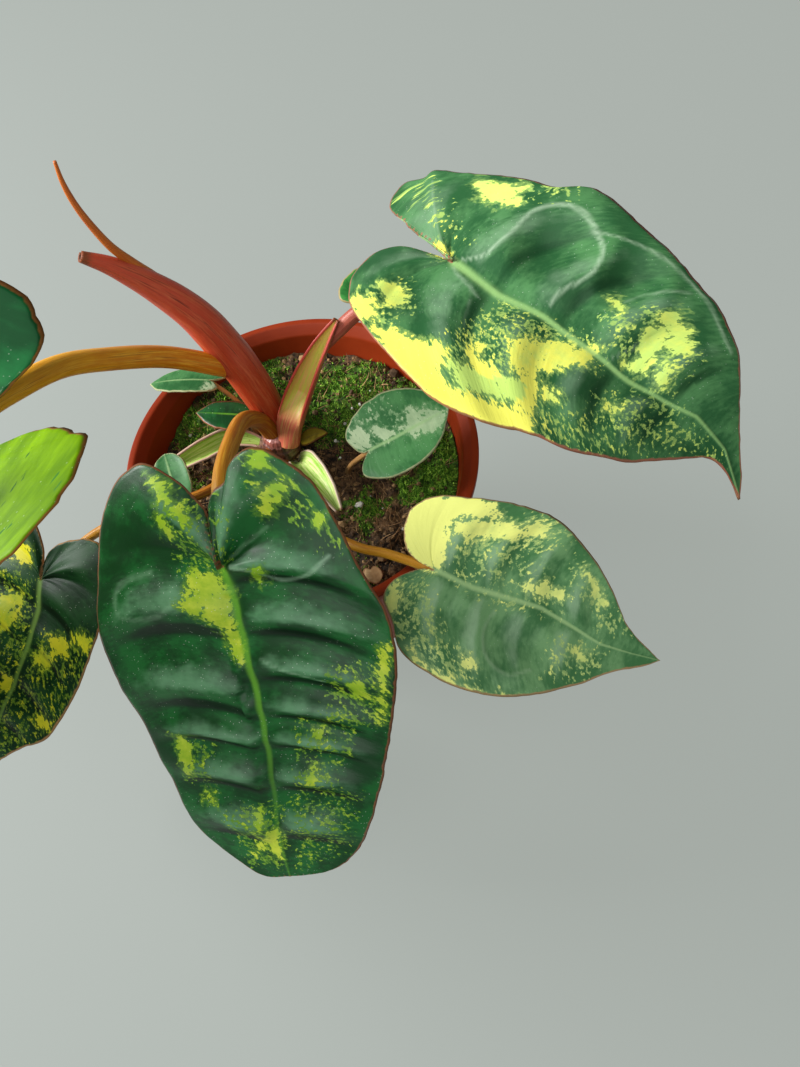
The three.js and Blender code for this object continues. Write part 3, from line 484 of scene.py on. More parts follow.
        sinus=(-86.7, -34.8, 175.8), tip=(-147.9, -17.8, 65.9), turn=22, fold=0.68, relax=0.7,
        arch=0.72, slot="leaf_lime", look="folded",
        left=[(-10, 2), (-23, 4), (-36, 9), (-42, 18), (-39.6, 31), (-28, 42), (-10, 51), (13, 55),
            (36, 54), (58, 48), (77, 40), (97, 28), (114, 14), (122, 6.4)],
        right=[(-10, 2), (-23, 4), (-36, 9), (-42, 18), (-39.6, 31), (-28, 42), (-10, 51),
            (13, 55), (36, 54), (58, 49), (78, 41), (98, 28.6), (114, 14.4), (122, 6)],
        midrib=[(38, 1.6), (77, 2.2)], end=(127.4, 0), furrows=[-26, -11, 9, 28, 47, 66, 86],
        sweep=0.012, quilt=1.4, ragged=0.8, sway=1.6, rows=190, columns=34, ribWidth=1.8,
        shades=[(-29, 19, 7.5, 0.9), (-33, 25, 5, 0.5)],
        patches=[
            (0.35, [(-60, 2.5), (-20, 2.5), (0, 3), (20, 3), (50, 4), (70, 10), (84, 24), (84, 60),
                 (-60, 60)]),
            (0.3, [(60, -6), (80, -10), (90, -22), (70, -30), (64, -18)]),
            (0.4, [(0, -44), (16, -48), (30, -46), (20, -36), (6, -36)]),
        ],
        speckled=[
            (0.7, [(20, -50), (60, -48), (110, -14), (60, -6), (30, -10)]),
            (0.8, [(70, 4), (84, 2), (110, 12), (90, 40), (76, 40)]),
        ]),
    "leaf_6_blade": dict(
        sinus=(-90.4, -16.6, 98), tip=(-144.2, -60.6, 52), fold=0.03, arch=0.12,
        slot="leaf_dark_green", look="speckledGreen",
        left=[(-5, -1.6), (-10, -1), (-14, 2), (-18, 8), (-19, 14), (-14, 21), (-5, 26), (8, 28.4),
            (20, 28.8), (34, 27.6), (45, 23.5), (53, 16), (61, 9.5), (71, 4)],
        right=[(-6, 2.4), (-10, 5), (-14, 10), (-17, 17), (-16, 24), (-9, 30.5), (3, 34), (16, 35),
            (30, 32), (43, 27), (55, 19), (66, 10), (75, 3.5)],
        midrib=[(9, 4), (18, 5.4), (34, 6), (50, 4.6), (66, 2)], end=(81, 0),
        furrows=[-16, -5, 9, 22, 36, 50, 62], quilt=1.2, rows=170, columns=30, ribWidth=1.2,
        patches=[
            (0.95, [(-5, -17), (-8, -13), (-7, -7), (-3, -6), (-1, -10), (-3, -15)]),
            (0.7, [(15, 12), (12, 15), (13, 20), (16, 21), (19, 17)]),
            (0.6, [(10, 20), (7, 23), (6, 27), (10, 28), (12, 24)]),
            (0.5, [(22, 7), (20, 11), (19, 15), (23, 16), (25, 12)]),
            (0.7, [(34, 0), (33, 4), (37, 5), (40, 1)]),
            (0.8, [(40, 18), (38, 21), (37, 25), (42, 24)]),
            (0.5, [(6, -4), (12, -12), (22, -18), (26, -10), (16, -2)]),
            (0.7, [(44, -2), (52, -8), (60, -6), (54, 1)]),
        ],
        speckled=[
            (0.75, [(2, -18), (1, -1), (19, 5), (44, 6), (60, -4), (30, -28), (6, -30)]),
            (0.7, [(14, 8), (6, 29), (19, 32), (36, 27), (60, 10), (48, 4), (28, 8)]),
        ]),
    "small_leaf_a": dict(
        sinus=(-21.5, 34.5, 104.5), tip=(-42, 42.5, 103), turn=-15, fold=0.12, arch=0.2,
        slot="leaf_grey_green", look="greyGreen",
        left=[(-2, 1), (-3.4, 3.4), (-2, 6), (2, 7.4), (9, 7.4), (17, 5)],
        right=[(-2.4, 1), (-5, 2.6), (-4.4, 4.6), (1, 5.8), (9, 5.8), (17, 4.2)],
        midrib=[(10, 0.3)], end=(22, 0),
        patches=[(0.6, [(-4, 3), (-3, 7), (1, 6), (0, 2)])]),
    "small_leaf_b": dict(
        sinus=(-14, 23, 95), tip=(-30, 30, 96), turn=10, fold=0.25, arch=0.15,
        slot="leaf_dark_green", look="deepGreen",
        left=[(-1.5, 0.8), (-2.5, 3), (0, 5.4), (5, 6.6), (11, 5.6), (15, 2.8)],
        right=[(-1.5, 0.8), (-2.5, 2.6), (0, 4.2), (5, 4.8), (11, 4), (15, 2)],
        midrib=[(8, 0.2)], end=(17.7, 0)),
    "small_leaf_c": dict(
        sinus=(-43, -1.5, 96), tip=(-43.5, 14.5, 99), turn=8, fold=0.15, arch=0.1,
        slot="leaf_grey_green", look="greyGreen",
        left=[(-1.5, 0.8), (-2.5, 3), (0, 5.4), (5, 6.6), (11, 5.8), (15, 3.4)],
        right=[(-1.5, 0.8), (-2.5, 3), (0, 5.2), (5, 6.4), (11, 5.8), (15, 3.4)],
        midrib=[(8, 0.2)], end=(16.4, 0)),
    "small_leaf_d": dict(
        sinus=(38, 33, 121), tip=(60, 44, 116), fold=0.15, arch=0.2, slot="leaf_mid_green",
        look="freshGreen",
        left=[(-2, 0.8), (-5, 3), (-6, 7), (-2, 10.5), (6, 11.6), (15, 8.6), (21, 4)],
        midrib=[(10, 0.3)], end=(25.1, 0), columns=16, ribWidth=0.5,
        patches=[(0.3, [(4, 2), (10, 8), (16, 6), (12, 1)])],
        speckled=[(0.5, [(0, -10), (18, -8), (20, 0), (2, 0)])]),
    "dead_leaf": dict(
        sinus=(1.3, 8.2, 90), tip=(11.1, 6.7, 92.3), turn=10, fold=0.3, arch=0.3,
        slot="leaf_olive", look="deadOlive", left=[(0.2, 1.2), (1.6, 3.2), (5, 3.6), (9, 1.6)],
        midrib=[(5.2, 0)], end=(10.4, 0), rows=40, columns=12),
    "dry_scrap": dict(
        sinus=(9.2, -45, 84.3), tip=(9.6, -51, 84.9), turn=15, fold=0.3, arch=0.3,
        slot="stalk_tan", look="dryTan", left=[(-1.2, 1.6), (1, 3), (3.6, 3), (5.4, 1.4)],
        midrib=[(3, 0)], end=(6, 0), rows=40, columns=10, ribWidth=0.3),
}
leaves = {name: {**plainLeaf, "right": own["left"], **own} for name, own in leaves.items()}

# how every blade is made: how fast its rows thin out towards the margin, the height of a fold's
# rounded middle, where light and shade lie along each bulge, from 0 to 1, and heights as factors
blade = {"thickness": 0.9, "thinThickness": 0.8, "crowding": 0.9, "foldRound": 3, "cupAt": 30,
         "veinLean": -0.3, "lobeReach": 15, "skew": 1.4, "bulge": 1.35, "litPeak": 0.58,
         "pocketPower": 0.7, "pocketFloor": 0.25, "litBefore": 0.28, "litAfter": 0.12,
         "deepPeaks": (0.92, -0.08), "deepWidth": 0.1,
         "deepFrom": (-9, 4), "crest": 0.35, "rimAt": 1.3, "rim": 0.3, "rimSpread": 0.14,
         "hollowSpread": 0.6, "hollowShade": 0.25, "marginRound": 1.1, "ribFrom": (-3, 2),
         "veinFrom": (0, 0.08), "veinFade": 0.7, "plainFurrows": (-0.4, 0.9, 0.15),
         "edgeStart": 0.3, "edgeStep": 0.05, "veinCrease": 0.0022, "veinWidth": 0.04,
         "creaseTop": 1.2, "creaseUnder": 0.6, "ribThinning": 0.8, "ribTop": 0.1575,
         "ribUnder": 0.33, "swayPitch": 0.25, "swayFrom": 0.6, "solidFrom": 0.9, "solid": 1.5,
         "plainTint": 0.3, "speckEdge": 3}


def leafFrame(leaf):
    # along points to the tip, normal is the upright turned about it, left completes the three
    sinus, tip = np.array(leaf["sinus"], float), np.array(leaf["tip"], float)
    length = np.linalg.norm(tip - sinus)
    along = (tip - sinus) / length
    up = unit(np.array([0, 0, 1.0]) - along[2] * along)
    turn = math.radians(leaf["turn"])
    normal = up * math.cos(turn) + np.cross(up, along) * math.sin(turn)
    return sinus, along, np.cross(normal, along), normal, length


def veinRun(leaf, out):
    # how far towards the tip a side vein has run at distance out from the midrib: it leans back
    # at first and sweeps forward with the square of that distance
    return blade["veinLean"] * out + leaf["sweep"] * out**2


def veinPosition(leaf, u, v):
    # where the side vein through a point leaves the midrib; in the lobes, the angle past the
    # first vein, made negative
    out = np.abs(v)
    run = veinRun(leaf, out)
    past = np.arctan2(out, u) - np.arctan2(out, run)
    return np.where(u >= run, u - run, -blade["lobeReach"] * np.maximum(0, past))


def furrowsOf(leaf, left):
    # where side veins leave the midrib on one half; the right half may have its own list
    return np.array(leaf["furrows"] if left else leaf.get("rightFurrows", leaf["furrows"]), float)


def bladeHeight(leaf, length, u, v, share):
    # fold, cup and arch, then bulges between furrows as sine squared, their crests nearer the
    # tip, then round hollows with a low rim; slopes holds each point's painted light, its painted
    # shade in the furrows, hollows and shaded places, and its crest
    t = u / length
    fold = leaf["fold"] * (1 - leaf["relax"] * np.maximum(t, 0))
    height = fold * (np.sqrt(v * v + blade["foldRound"] ** 2) - blade["foldRound"])
    height = height + leaf["cup"] * v * v / blade["cupAt"] + leaf["arch"] * length * t * (1 - t)
    slopes = np.zeros((len(u), 3))
    if leaf["quilt"]:
        at = veinPosition(leaf, u, v)
        least = blade["pocketFloor"]
        pocket = (4 * share * (1 - share)) ** blade["pocketPower"]
        pocket = pocket * (least + (1 - least) * (1 - share**2))
        for left in (True, False):
            furrows, here = furrowsOf(leaf, left), (v > 0) == left
            i = np.searchsorted(furrows, at, side="right") - 1
            inside = (i >= 0) & (i < len(furrows) - 1) & here
            i = np.clip(i, 0, len(furrows) - 2)
            phase = np.clip((at - furrows[i]) / (furrows[i + 1] - furrows[i]), 0, 1)
            bulge = pocket * np.sin(np.pi * phase ** blade["skew"]) ** 2
            height = height + np.where(inside, blade["bulge"] * leaf["quilt"] * bulge, 0)
            # painted light: a highlight on the side of each bulge that faces the light
            before = phase < blade["litPeak"]
            width = np.where(before, blade["litBefore"], blade["litAfter"])
            lit = bell(phase - blade["litPeak"], width) * pocket
            # painted shade: a dark band at each furrow, where the bulge before it falls steeply
            nearest = np.abs(phase[:, None] - np.array(blade["deepPeaks"])).min(1)
            deep = bell(nearest, blade["deepWidth"]) * pocket * smoothStep(*blade["deepFrom"], at)
            slopes[:, 0] += np.where(inside, lit, 0)
            slopes[:, 1] += np.where(inside, deep * leaf["banding"], 0)
    # painted shade at the places listed in shades
    for du, dv, radius, strength in leaf["shades"]:
        shade = strength * np.exp(-(((u - du) ** 2 + (v - dv) ** 2) / radius**2))
        slopes[:, 1] = np.maximum(slopes[:, 1], shade)
    for du, dv, radius, depth in leaf["dimples"]:
        r = np.hypot(u - du, v - dv) / radius
        hollow = np.exp(-(r**2) / blade["hollowSpread"])
        rim = np.exp(-((r - blade["rimAt"]) ** 2) / blade["rimSpread"])
        height = height + depth * (blade["rim"] * rim - hollow)
        # painted shade in the hollow
        slopes[:, 1] = np.maximum(slopes[:, 1], blade["hollowShade"] * hollow)
    return height, slopes


def sideDistance(place, a, b):
    # distance to the nearest of the straight pieces from each a to its b
    side, away = b - a, place[:, None, :] - a[None]
    t = np.clip((away * side).sum(-1) / (side * side).sum(-1), 0, 1)
    return np.linalg.norm(away - t[..., None] * side, axis=-1).min(1)


def insideDistance(place, outline):
    # distance to a closed outline, positive inside it, by counting the sides crossed on a ray
    a = np.array(outline, float)
    b = np.roll(a, -1, axis=0)
    distance = sideDistance(place, a, b)
    x, y = place[:, :1], place[:, 1:]
    straddles = (a[:, 1] <= y) != (b[:, 1] <= y)
    rise = b[:, 1] - a[:, 1]
    rise = np.where(np.abs(rise) < tiny, tiny, rise)
    crossed = straddles & (x < a[:, 0] + (y - a[:, 1]) * (b[:, 0] - a[:, 0]) / rise)
    return np.where(crossed.sum(1) % 2 == 1, distance, -distance)


nibbles = {"wave": 5, "nick": 1.9, "nickShare": 0.6, "still": 8}


def raggedMargin(line, size, seed):
    # the points of a margin pushed in and out by lattice noise of two sizes, still at both ends
    ahead, far = unit(np.gradient(line, axis=0)), runLength(line)
    row, still = np.full_like(far, seed), nibbles["still"]
    push = latticeNoise(far, row, nibbles["wave"], seed)
    push = push + nibbles["nickShare"] * latticeNoise(far, row, nibbles["nick"], seed + 1)
    push = size * push * smoothStep(0, still, far) * smoothStep(0, still, far[-1] - far)
    return line + np.stack([ahead[:, 1], -ahead[:, 0]], 1) * push[:, None]


def bladeMargins(name, leaf):
    # left and right margin from the sinus round the lobe to the tip
    margins = []
    for side, sign in (("left", 1), ("right", -1)):
        line = [(0, 0)] + [(u, sign * out) for u, out in leaf[side]] + [leaf["end"]]
        line = throughPoints(line, leaf["rows"], centripetal=False)
        margins.append(raggedMargin(line, leaf["ragged"], len(name) + 5 * sign))
    return margins


def bladeGrid(leaf, margins, spine):
    # rows run along the side veins from the midrib (share 0) to the margin (share 1); each point
    # has u, v, its share, its signed distance from the midrib and its distance from the margin
    rows, columns, end = leaf["rows"], leaf["columns"], leaf["end"][0]
    start = [m[:, 0] - veinRun(leaf, np.abs(m[:, 1])) for m in margins]
    rib = np.clip(np.maximum.accumulate((start[0] + start[1]) / 2), 0, end)
    rib[-1] = end
    ribs = np.stack([rib, np.interp(rib, spine[:, 0], spine[:, 1])], 1)
    share = np.linspace(0, 1, columns)[None, :] ** blade["crowding"]
    sheets, quads = [], []
    for edge, sign in zip(margins, (1, -1)):
        across = edge - ribs
        reach = np.linalg.norm(across, axis=1)[:, None]
        u = ribs[:, :1] + across[:, :1] * share
        u = u - leaf["sweep"] * across[:, 1:] ** 2 * share * (1 - share)
        v = ribs[:, 1:] + across[:, 1:] * share
        sheets.append(np.stack([u, v, np.broadcast_to(share, u.shape), reach * share * sign,
                                reach * (1 - share)], -1).reshape(-1, 5))
        cells = gridQuads(rows, columns) + len(quads) * rows * columns
        quads.append(cells if sign < 0 else cells[:, ::-1])
    return np.vstack(sheets).T, asTriangles(np.vstack(quads))


def bladeMarks(leaf, flat):
    # distance inside the nearest patch, density of specks and the patch's tint; the paler
    # patches stay shallow, so that noise makes islands in them
    patch, tint = np.full(len(flat), -9.0), np.full(len(flat), blade["plainTint"])
    for hue, outline in leaf["patches"]:
        inside = insideDistance(flat, outline)
        inside = inside if hue >= blade["solidFrom"] else np.minimum(inside, blade["solid"])
        tint = np.where(inside > patch, hue, tint)
        patch = np.maximum(patch, inside)
    speckled = np.zeros(len(flat))
    for density, outline in leaf["speckled"]:
        edge = smoothStep(-blade["speckEdge"], blade["speckEdge"], insideDistance(flat, outline))
        speckled = np.maximum(speckled, density * edge)
    return np.stack([patch, speckled, tint], 1)


def leafSurface(name, leaf):
    # each face stands half the thickness off the middle surface, rounded to nothing at the
    # margin; side veins are creases, the midrib is raised on both faces
    sinus, along, left, normal, length = leafFrame(leaf)
    leaf.setdefault("furrows", np.arange(*blade["plainFurrows"]) * length)
    margins = bladeMargins(name, leaf)
    spine = np.array([(0, 0), *leaf["midrib"], leaf["end"]], float)
    (u, v, share, out, toEdge), cells = bladeGrid(leaf, margins, spine)
    flat = np.stack([u, v], 1)
    middle, slopes = bladeHeight(leaf, length, u, v, share)
    # each ridge raises a crest, which the finish also paints with a highlight
    for width, strength, line in leaf["ridges"]:
        curve = throughPoints(line, 8 * len(line))
        crest = strength * bell(sideDistance(flat, curve[:-1], curve[1:]), width)
        slopes[:, 2] = np.maximum(slopes[:, 2], crest)
    rim = np.vstack([margins[0], margins[1][::-1]])[::2]
    edge = np.sqrt(((flat[:, None, :] - rim[None]) ** 2).sum(-1).min(1))
    edge = np.minimum(edge + blade["edgeStart"], toEdge + blade["edgeStep"])
    edge = np.where(share >= 1, 0, edge)
    at = veinPosition(leaf, u, v)
    ribAway = np.where(u < 0, np.hypot(u, v), np.abs(v - np.interp(u, spine[:, 0], spine[:, 1])))
    taper = leaf["ribWidth"] * (1 - blade["ribThinning"] * np.clip(u / length, 0, 1) ** 0.7)
    rib = bell(ribAway, taper) * smoothStep(*blade["ribFrom"], u)
    away = [np.abs(at[:, None] - furrowsOf(leaf, side)[None]).min(1) for side in (True, False)]
    veins = bell(np.where(v > 0, *away), blade["veinWidth"] * length**0.7)
    fade = smoothStep(*blade["veinFrom"], share) * (1 - blade["veinFade"] * share)
    crease = blade["veinCrease"] * length * veins * fade
    wave = np.sin(at * blade["swayPitch"] + np.sign(v))
    sway = leaf["sway"] * wave * smoothStep(blade["swayFrom"], 1, share)
    middle = middle + blade["crest"] * slopes[:, 2] + sway
    thickness = blade["thickness"] if leaf["quilt"] else blade["thinThickness"]
    marginward = 1 - np.clip(edge / blade["marginRound"], 0, 1)
    half = 0.5 * thickness * np.sqrt(1 - marginward**2)
    ridge = leaf["ribWidth"] * rib * (half > 0)
    top = middle + half - crease * blade["creaseTop"] + blade["ribTop"] * ridge
    under = middle - half - crease * blade["creaseUnder"] - blade["ribUnder"] * ridge
    marks, points, places = bladeMarks(leaf, flat), [], []
    for face, w in ((1, top), (-1, under)):
        w = np.where(half > 0, w, middle)
        points.append(sinus + u[:, None] * along + v[:, None] * left + w[:, None] * normal)
        places.append(np.stack([u, v, np.where(share >= 1, 0, face)], 1))
    fields = {"vein": np.stack([at, out, edge], 1), "marks": marks, "rib": rib, "slopes": slopes}
    fields = {key: np.concatenate([value, value]) for key, value in fields.items()}
    fields["place"] = np.vstack(places)
    triangles = np.vstack([cells, cells[:, ::-1] + len(u)])
    return np.vstack(points), triangles, fields, float(length)


# colours of each kind of blade as seen on screen, and how glossy, shiny and specked with dust and
# painted glints it is and how strong its painted sheen is; ribReach is how far up the blade the
# midrib stays pale. Of the colours, the first is the painted shade in furrows and hollows, the
# second the painted highlight along raised ridges and the fifth the painted sheen
lookColours = ("deep", "ridge", "dark", "mid", "sheen", "lime", "lemon", "rib", "under", "margin")
lookValues = ("gloss", "shine", "specks", "ribReach", "haze")
looks = {
    "deepGreen": [(3, 22, 8), (150, 186, 152), (8, 56, 20), (20, 90, 36), (104, 152, 112),
                  (128, 168, 28), (192, 204, 60), (96, 156, 40), (96, 132, 84), (132, 78, 50),
                  0.12, 0.2, 1, 0.75, 0.75],
    "sageGreen": [(18, 56, 28), (152, 174, 146), (34, 78, 42), (66, 112, 66), (132, 160, 130),
                  (178, 206, 102), (224, 222, 92), (142, 182, 110), (124, 156, 104),
                  (140, 84, 66), 0.08, 0.12, 0.5, 1.1, 0.32],
    "blueGreen": [(34, 80, 42), (160, 184, 148), (62, 108, 64), (104, 146, 96), (152, 180, 146),
                  (176, 196, 112), (226, 230, 126), (152, 184, 124), (134, 164, 116),
                  (158, 124, 88), 0.06, 0.12, 0.3, 1.1, 0.5],
    "greyGreen": [(26, 64, 34), (140, 160, 134), (36, 84, 42), (64, 112, 64), (100, 134, 98),
                  (122, 146, 108), (154, 170, 134), (128, 158, 106), (120, 148, 112),
                  (150, 152, 112), 0.05, 0.12, 0.5, 1.1, 0.3],
    "folded": [(3, 20, 8), (110, 150, 90), (6, 60, 26), (18, 92, 44), (70, 130, 84),
               (70, 104, 0), (124, 164, 0), (110, 150, 30), (130, 160, 6), (140, 88, 44),
               0.04, 0.06, 0.3, 1.1, 0.15],
    "speckledGreen": [(4, 18, 6), (84, 116, 80), (8, 36, 14), (20, 58, 24), (54, 88, 54),
                      (116, 148, 40), (190, 184, 34), (100, 130, 56), (110, 136, 76),
                      (150, 112, 72), 0.04, 0.08, 0.5, 1.1, 0.3],
    "freshGreen": [(20, 66, 26), (140, 180, 120), (30, 90, 36), (62, 132, 58), (110, 156, 100),
                   (160, 196, 80), (210, 216, 110), (150, 186, 96), (110, 150, 84),
                   (150, 130, 90), 0.2, 0.12, 0, 1.1, 0.4],
    "deadOlive": [(60, 50, 14), (180, 160, 70), (122, 106, 24), (192, 170, 50), (170, 150, 60),
                  (140, 130, 50), (170, 150, 70), (110, 96, 40), (120, 104, 50),
                  (104, 62, 30), 0.05, 0.12, 0, 1.1, 0.3],
    "dryTan": [(110, 82, 52), (220, 200, 160), (140, 108, 74), (196, 164, 122), (214, 190, 150),
               (190, 160, 120), (210, 186, 150), (150, 116, 80), (160, 130, 94),
               (120, 84, 56), 0, 0.12, 0, 1.1, 0.2],
}


def lookFrom(row, colours, values):
    # a row of a colour table as a dictionary, its colours ready for a shader
    row = [rgb(*entry) if isinstance(entry, tuple) else entry for entry in row]
    return dict(zip(colours + values, row))


# the colour of pale specks that are partly dust and partly painted glints
dustAndGlintColour = rgb(206, 216, 200)


def leafFinish(name, look, length):
    # green in clouds and fibres, a painted sheen on what faces the light, painted shade in the
    # furrows and hollows and a painted highlight along the raised ridges, then the variegation, the
    # midrib, pale specks that are partly dust and partly painted glints, the underside and the
    # margin, each laid over the last, and painted shade once more on the top face
    f = Finish(name, {"Coat Roughness": 0.3, "Specular IOR Level": look["shine"]})
    place, rib = f.field("place"), f.number("rib")
    u, v, face = (f.part(place, i) for i in range(3))
    along, out, edge = (f.field("vein", i) for i in range(3))
    patch, speckled, tint = (f.field("marks", i) for i in range(3))
    lit, deep, crest = (f.field("slopes", i) for i in range(3))

    def veined(alongScale, outScale, layer, detail, rough=0.5):
        # noise in the blade's own directions: along the midrib and out from it
        return f.noise(f.vector(along * alongScale, out * outScale, layer), 1, detail, rough)

    fibres, lines = veined(0.8, 0.3, face, 2), veined(1.0, 0.05, 3, 2)
    blotches, lobules = veined(0.34, 0.24, face + 8, 1), veined(0.95, 0.7, face + 4, 2)
    grains, mottle = veined(2.1, 1.5, face, 2, 0.6), veined(0.3, 0.22, 5, 2, 0.6)
    clouds, satin = f.noise(place, 0.07, 2, 0.5), f.noise(place, 0.16, 3, 0.5)
    cloudy = f.ramp(clouds + fibres.swing(0.3) + lobules.swing(0.15), 0.38, 0.66)
    green = f.mix(cloudy, look["dark"], look["mid"])
    # painted sheen: a pale colour on what faces the light
    paintedGleam = f.ramp(lit + satin.swing(0.9) + fibres.swing(0.3), 0.2, 1.0)
    green = f.mix(paintedGleam * look["haze"], green, look["sheen"])
    # painted shade in the furrows, hollows and shaded places
    green = f.mix(f.ramp(deep + satin.swing(0.2), 0.08, 0.6) * 0.85, green, look["deep"])
    # painted highlight along the raised ridges
    green = f.mix(f.ramp(crest + fibres.swing(0.3), 0.15, 1.1) * 0.65, green, look["ridge"])
    ragged = patch + blotches.swing(6) + lobules.swing(6) + grains.swing(3)
    islands = lobules + blotches.swing(0.5) + grains.swing(0.25)
    scattered = f.ramp(speckled, 0.02, 0.12)
    dots = f.ramp(islands + speckled * 0.15, 0.685, 0.7) * scattered
    faint = f.ramp(islands + speckled * 0.2, 0.64, 0.69) * scattered
    hue = f.ramp(tint + mottle.swing(0.9) + grains.swing(0.2), 0.1, 0.85)
    pale = f.mix(hue, look["lime"], look["lemon"])
    deepLime = f.mix(0.45, look["mid"], look["lime"])
    dotColour = f.mix(f.ramp(mottle + grains.swing(0.8), 0.42, 0.75), deepLime, pale)
    colour = f.mix(f.ramp(ragged, -2.2, -0.3) * 0.6, green, deepLime)
    colour = f.mix(faint * 0.75, colour, deepLime)
    colour = f.mix(dots, colour, dotColour)
    colour = f.mix(f.ramp(ragged, -0.2, 0.25), colour, pale)
    reach = length * look["ribReach"]
    paler = 0.3 + f.ramp(u, reach, reach * 0.45) * 0.5
    colour = f.mix(f.ramp(rib, 0.05, 0.9) * paler, colour, look["rib"])
    cells = f.node("ShaderNodeTexVoronoi", {}, {"Vector": f.vector(u, v, face), "Scale": 0.9})
    # pale specks, partly dust and partly painted glints, more of them where the painted light falls
    dustAndGlints = f.ramp(cells, 0.13, 0.08) * f.ramp(clouds + lit * 0.2, 0.42, 0.6)
    colour = f.mix(dustAndGlints * (0.6 * look["specks"]), colour, dustAndGlintColour)
    under = f.mix(f.ramp(lines, 0.3, 0.75) * 0.35, look["under"], look["mid"])
    under = f.mix(f.ramp(rib, 0.2, 0.6) * 0.5, under, look["rib"])
    below, above = f.ramp(face, 0.3, -0.3), f.ramp(face, -0.3, 0.3)
    colour = f.mix(below, colour, under)
    wander = f.noise(place, 0.5, 3).swing(0.8)
    colour = f.mix(f.ramp(edge + wander, 0.85, 0.4) * 0.9, colour, look["margin"])
    f.set({
        # painted shade laid once more, on the top face only
        "Base Color": f.mix(f.ramp(deep, 0.3, 1.0) * above * 0.4, colour, look["deep"]),
        "Roughness": 0.46 + satin.swing(0.24) + below * 0.14,
        "Coat Weight": above * look["gloss"],
        "Normal": f.bump(lines * 0.4 + fibres * 0.3 + f.noise(place, 1.4, 2) * 0.15, 0.3, 0.0006),
    })
    return f


for name, leaf in leaves.items():
    points, triangles, fields, length = leafSurface(name, leaf)
    look = lookFrom(looks[leaf["look"]], lookColours, lookValues)
    makePiece(name + "_dressed", points, triangles, name, leaf["slot"],
              leafFinish(name + "_finish", look, length), fields)
print("leaves done")


stalks = {
    "petiole_2": dict(look="pinkRed", radii=[3.8, 1.2, 0.9, 1, 2.4, 2.3, 2, 1.7], route=[
        (-2.2, 11.5, 84), (-0.7, 12.9, 96), (5.6, 14.8, 108), (15.6, 16.4, 120),
        (25.5, 16.7, 129.6), (35.5, 15.5, 136.6), (47.5, 11.8, 142.4), (59.4, 9.8, 146)]),
    "petiole_1": dict(look="ochre", radii=[3.2, 3, 2.8, 2.7, 2.7, 2.6, 2.5, 2.3], route=[
        (-5, 10.5, 86), (-7.4, 11.8, 97), (-9.6, 10.4, 106), (-13.9, 4, 116), (-18.4, -8, 123.5),
        (-23.5, -21.8, 127.8), (-26.8, -34, 127), (-29.3, -46.4, 122.4)]),
    "petiole_5": dict(look="golden", route=[
        (-5, 14.6, 84), (-4.6, 21, 95), (-5, 23.5, 104), (-9.4, 23.6, 116), (-17, 19.6, 128),
        (-28.6, 16.7, 140), (-41.5, 10.4, 152), (-51.6, 4, 161), (-60.6, -5.3, 168),
        (-71.1, -16.5, 173.5), (-86.3, -34.3, 174.6)],
        radii=[4, 3.8, 3.6, 3.4, 3.3, 3.3, 3.2, 3.1, 3, 2.8, 2.6]),
    "petiole_3": dict(look="ochre", radii=[1.9, 1.7, 1.6, 1.6, 1.6, 1.6, 1.5, 1.5, 1.4], route=[
        (-3.4, 8, 86), (-7.2, 2, 88.6), (-7.6, -9, 92.4), (-4, -24, 96), (2.4, -38, 99.2),
        (8.6, -45.6, 101.2), (14.4, -50, 102), (20.6, -55.8, 103), (25.8, -61.2, 103.7)]),
    "petiole_6": dict(look="ochre", radii=[1.9, 1.7, 1.6, 1.6, 1.5, 1.5, 1.5, 1.4, 1.4], route=[
        (-6, 9.5, 87), (-12.6, 5, 94), (-21, -0.5, 98.5), (-31.5, -8, 103), (-44, -10.8, 106),
        (-57, -11.6, 108), (-68, -11, 105), (-77.9, -12, 101), (-90, -16.3, 97.6)]),
    "petiole_4": dict(look="tan", radii=[1, 1, 0.9, 0.9, 0.9], route=[
        (13, -4, 76), (13.6, -6, 84), (15, -9, 92), (17.2, -12, 98.5), (21, -13.9, 103.6)]),
    "small_petiole_a": dict(look="tan", radii=[0.9, 0.9, 0.9, 0.8, 0.8], route=[
        (-12, 24, 78), (-12.6, 25.4, 86), (-14, 28, 94), (-17.4, 31, 100), (-21.4, 34.3, 104)]),
    "small_petiole_b": dict(look="tan", radii=[0.9, 0.8, 0.8, 0.8], route=[
        (-11.6, 19, 78), (-12.4, 20.4, 86), (-13, 21.6, 91), (-13.9, 22.9, 94.6)]),
    "small_petiole_c": dict(look="tan", radii=[0.9, 0.8, 0.8, 0.8], route=[
        (-38, -2, 78), (-39.5, -2.2, 86), (-41.5, -2, 92), (-43, -1.4, 95.6)]),
    "small_petiole_d": dict(look="greenStalk", radii=[1, 1, 1, 0.9, 0.9], route=[
        (6, 21, 76), (6.8, 22, 86), (10.6, 24.6, 98), (19.6, 28.6, 111), (37.6, 32.8, 120.6)]),
    "rolled_leaf": dict(look="rollOrange", seam=0.16, route=[
        (-11.6, 23.4, 125), (-16, 28.4, 138), (-19.6, 31, 147), (-22.8, 32.3, 154.5),
        (-26.9, 32.6, 162), (-30.4, 32.8, 169), (-32.8, 34.2, 176), (-34.2, 35.2, 183),
        (-34.5, 36.2, 189), (-34, 37.4, 194)],
        radii=[1.6, 2.2, 2.2, 2, 1.8, 1.5, 1.3, 1.1, 0.9, 0.5]),
}
# a stalk's front, how many points its section has when thick and thin, and rings to each point
# of its route
stalkMesh = {"facing": (0.2, 0.9, 0.35), "thickFrom": 1.5, "sides": (32, 16), "rings": 22,
             "swell": 0.1, "swellAt": 0.95, "swellWidth": 0.03, "pointFrom": 0.965, "point": 0.62,
             "seamStart": 0.35, "seamTurn": 0.5, "ridges": 5, "ridgeHeight": 0.015}


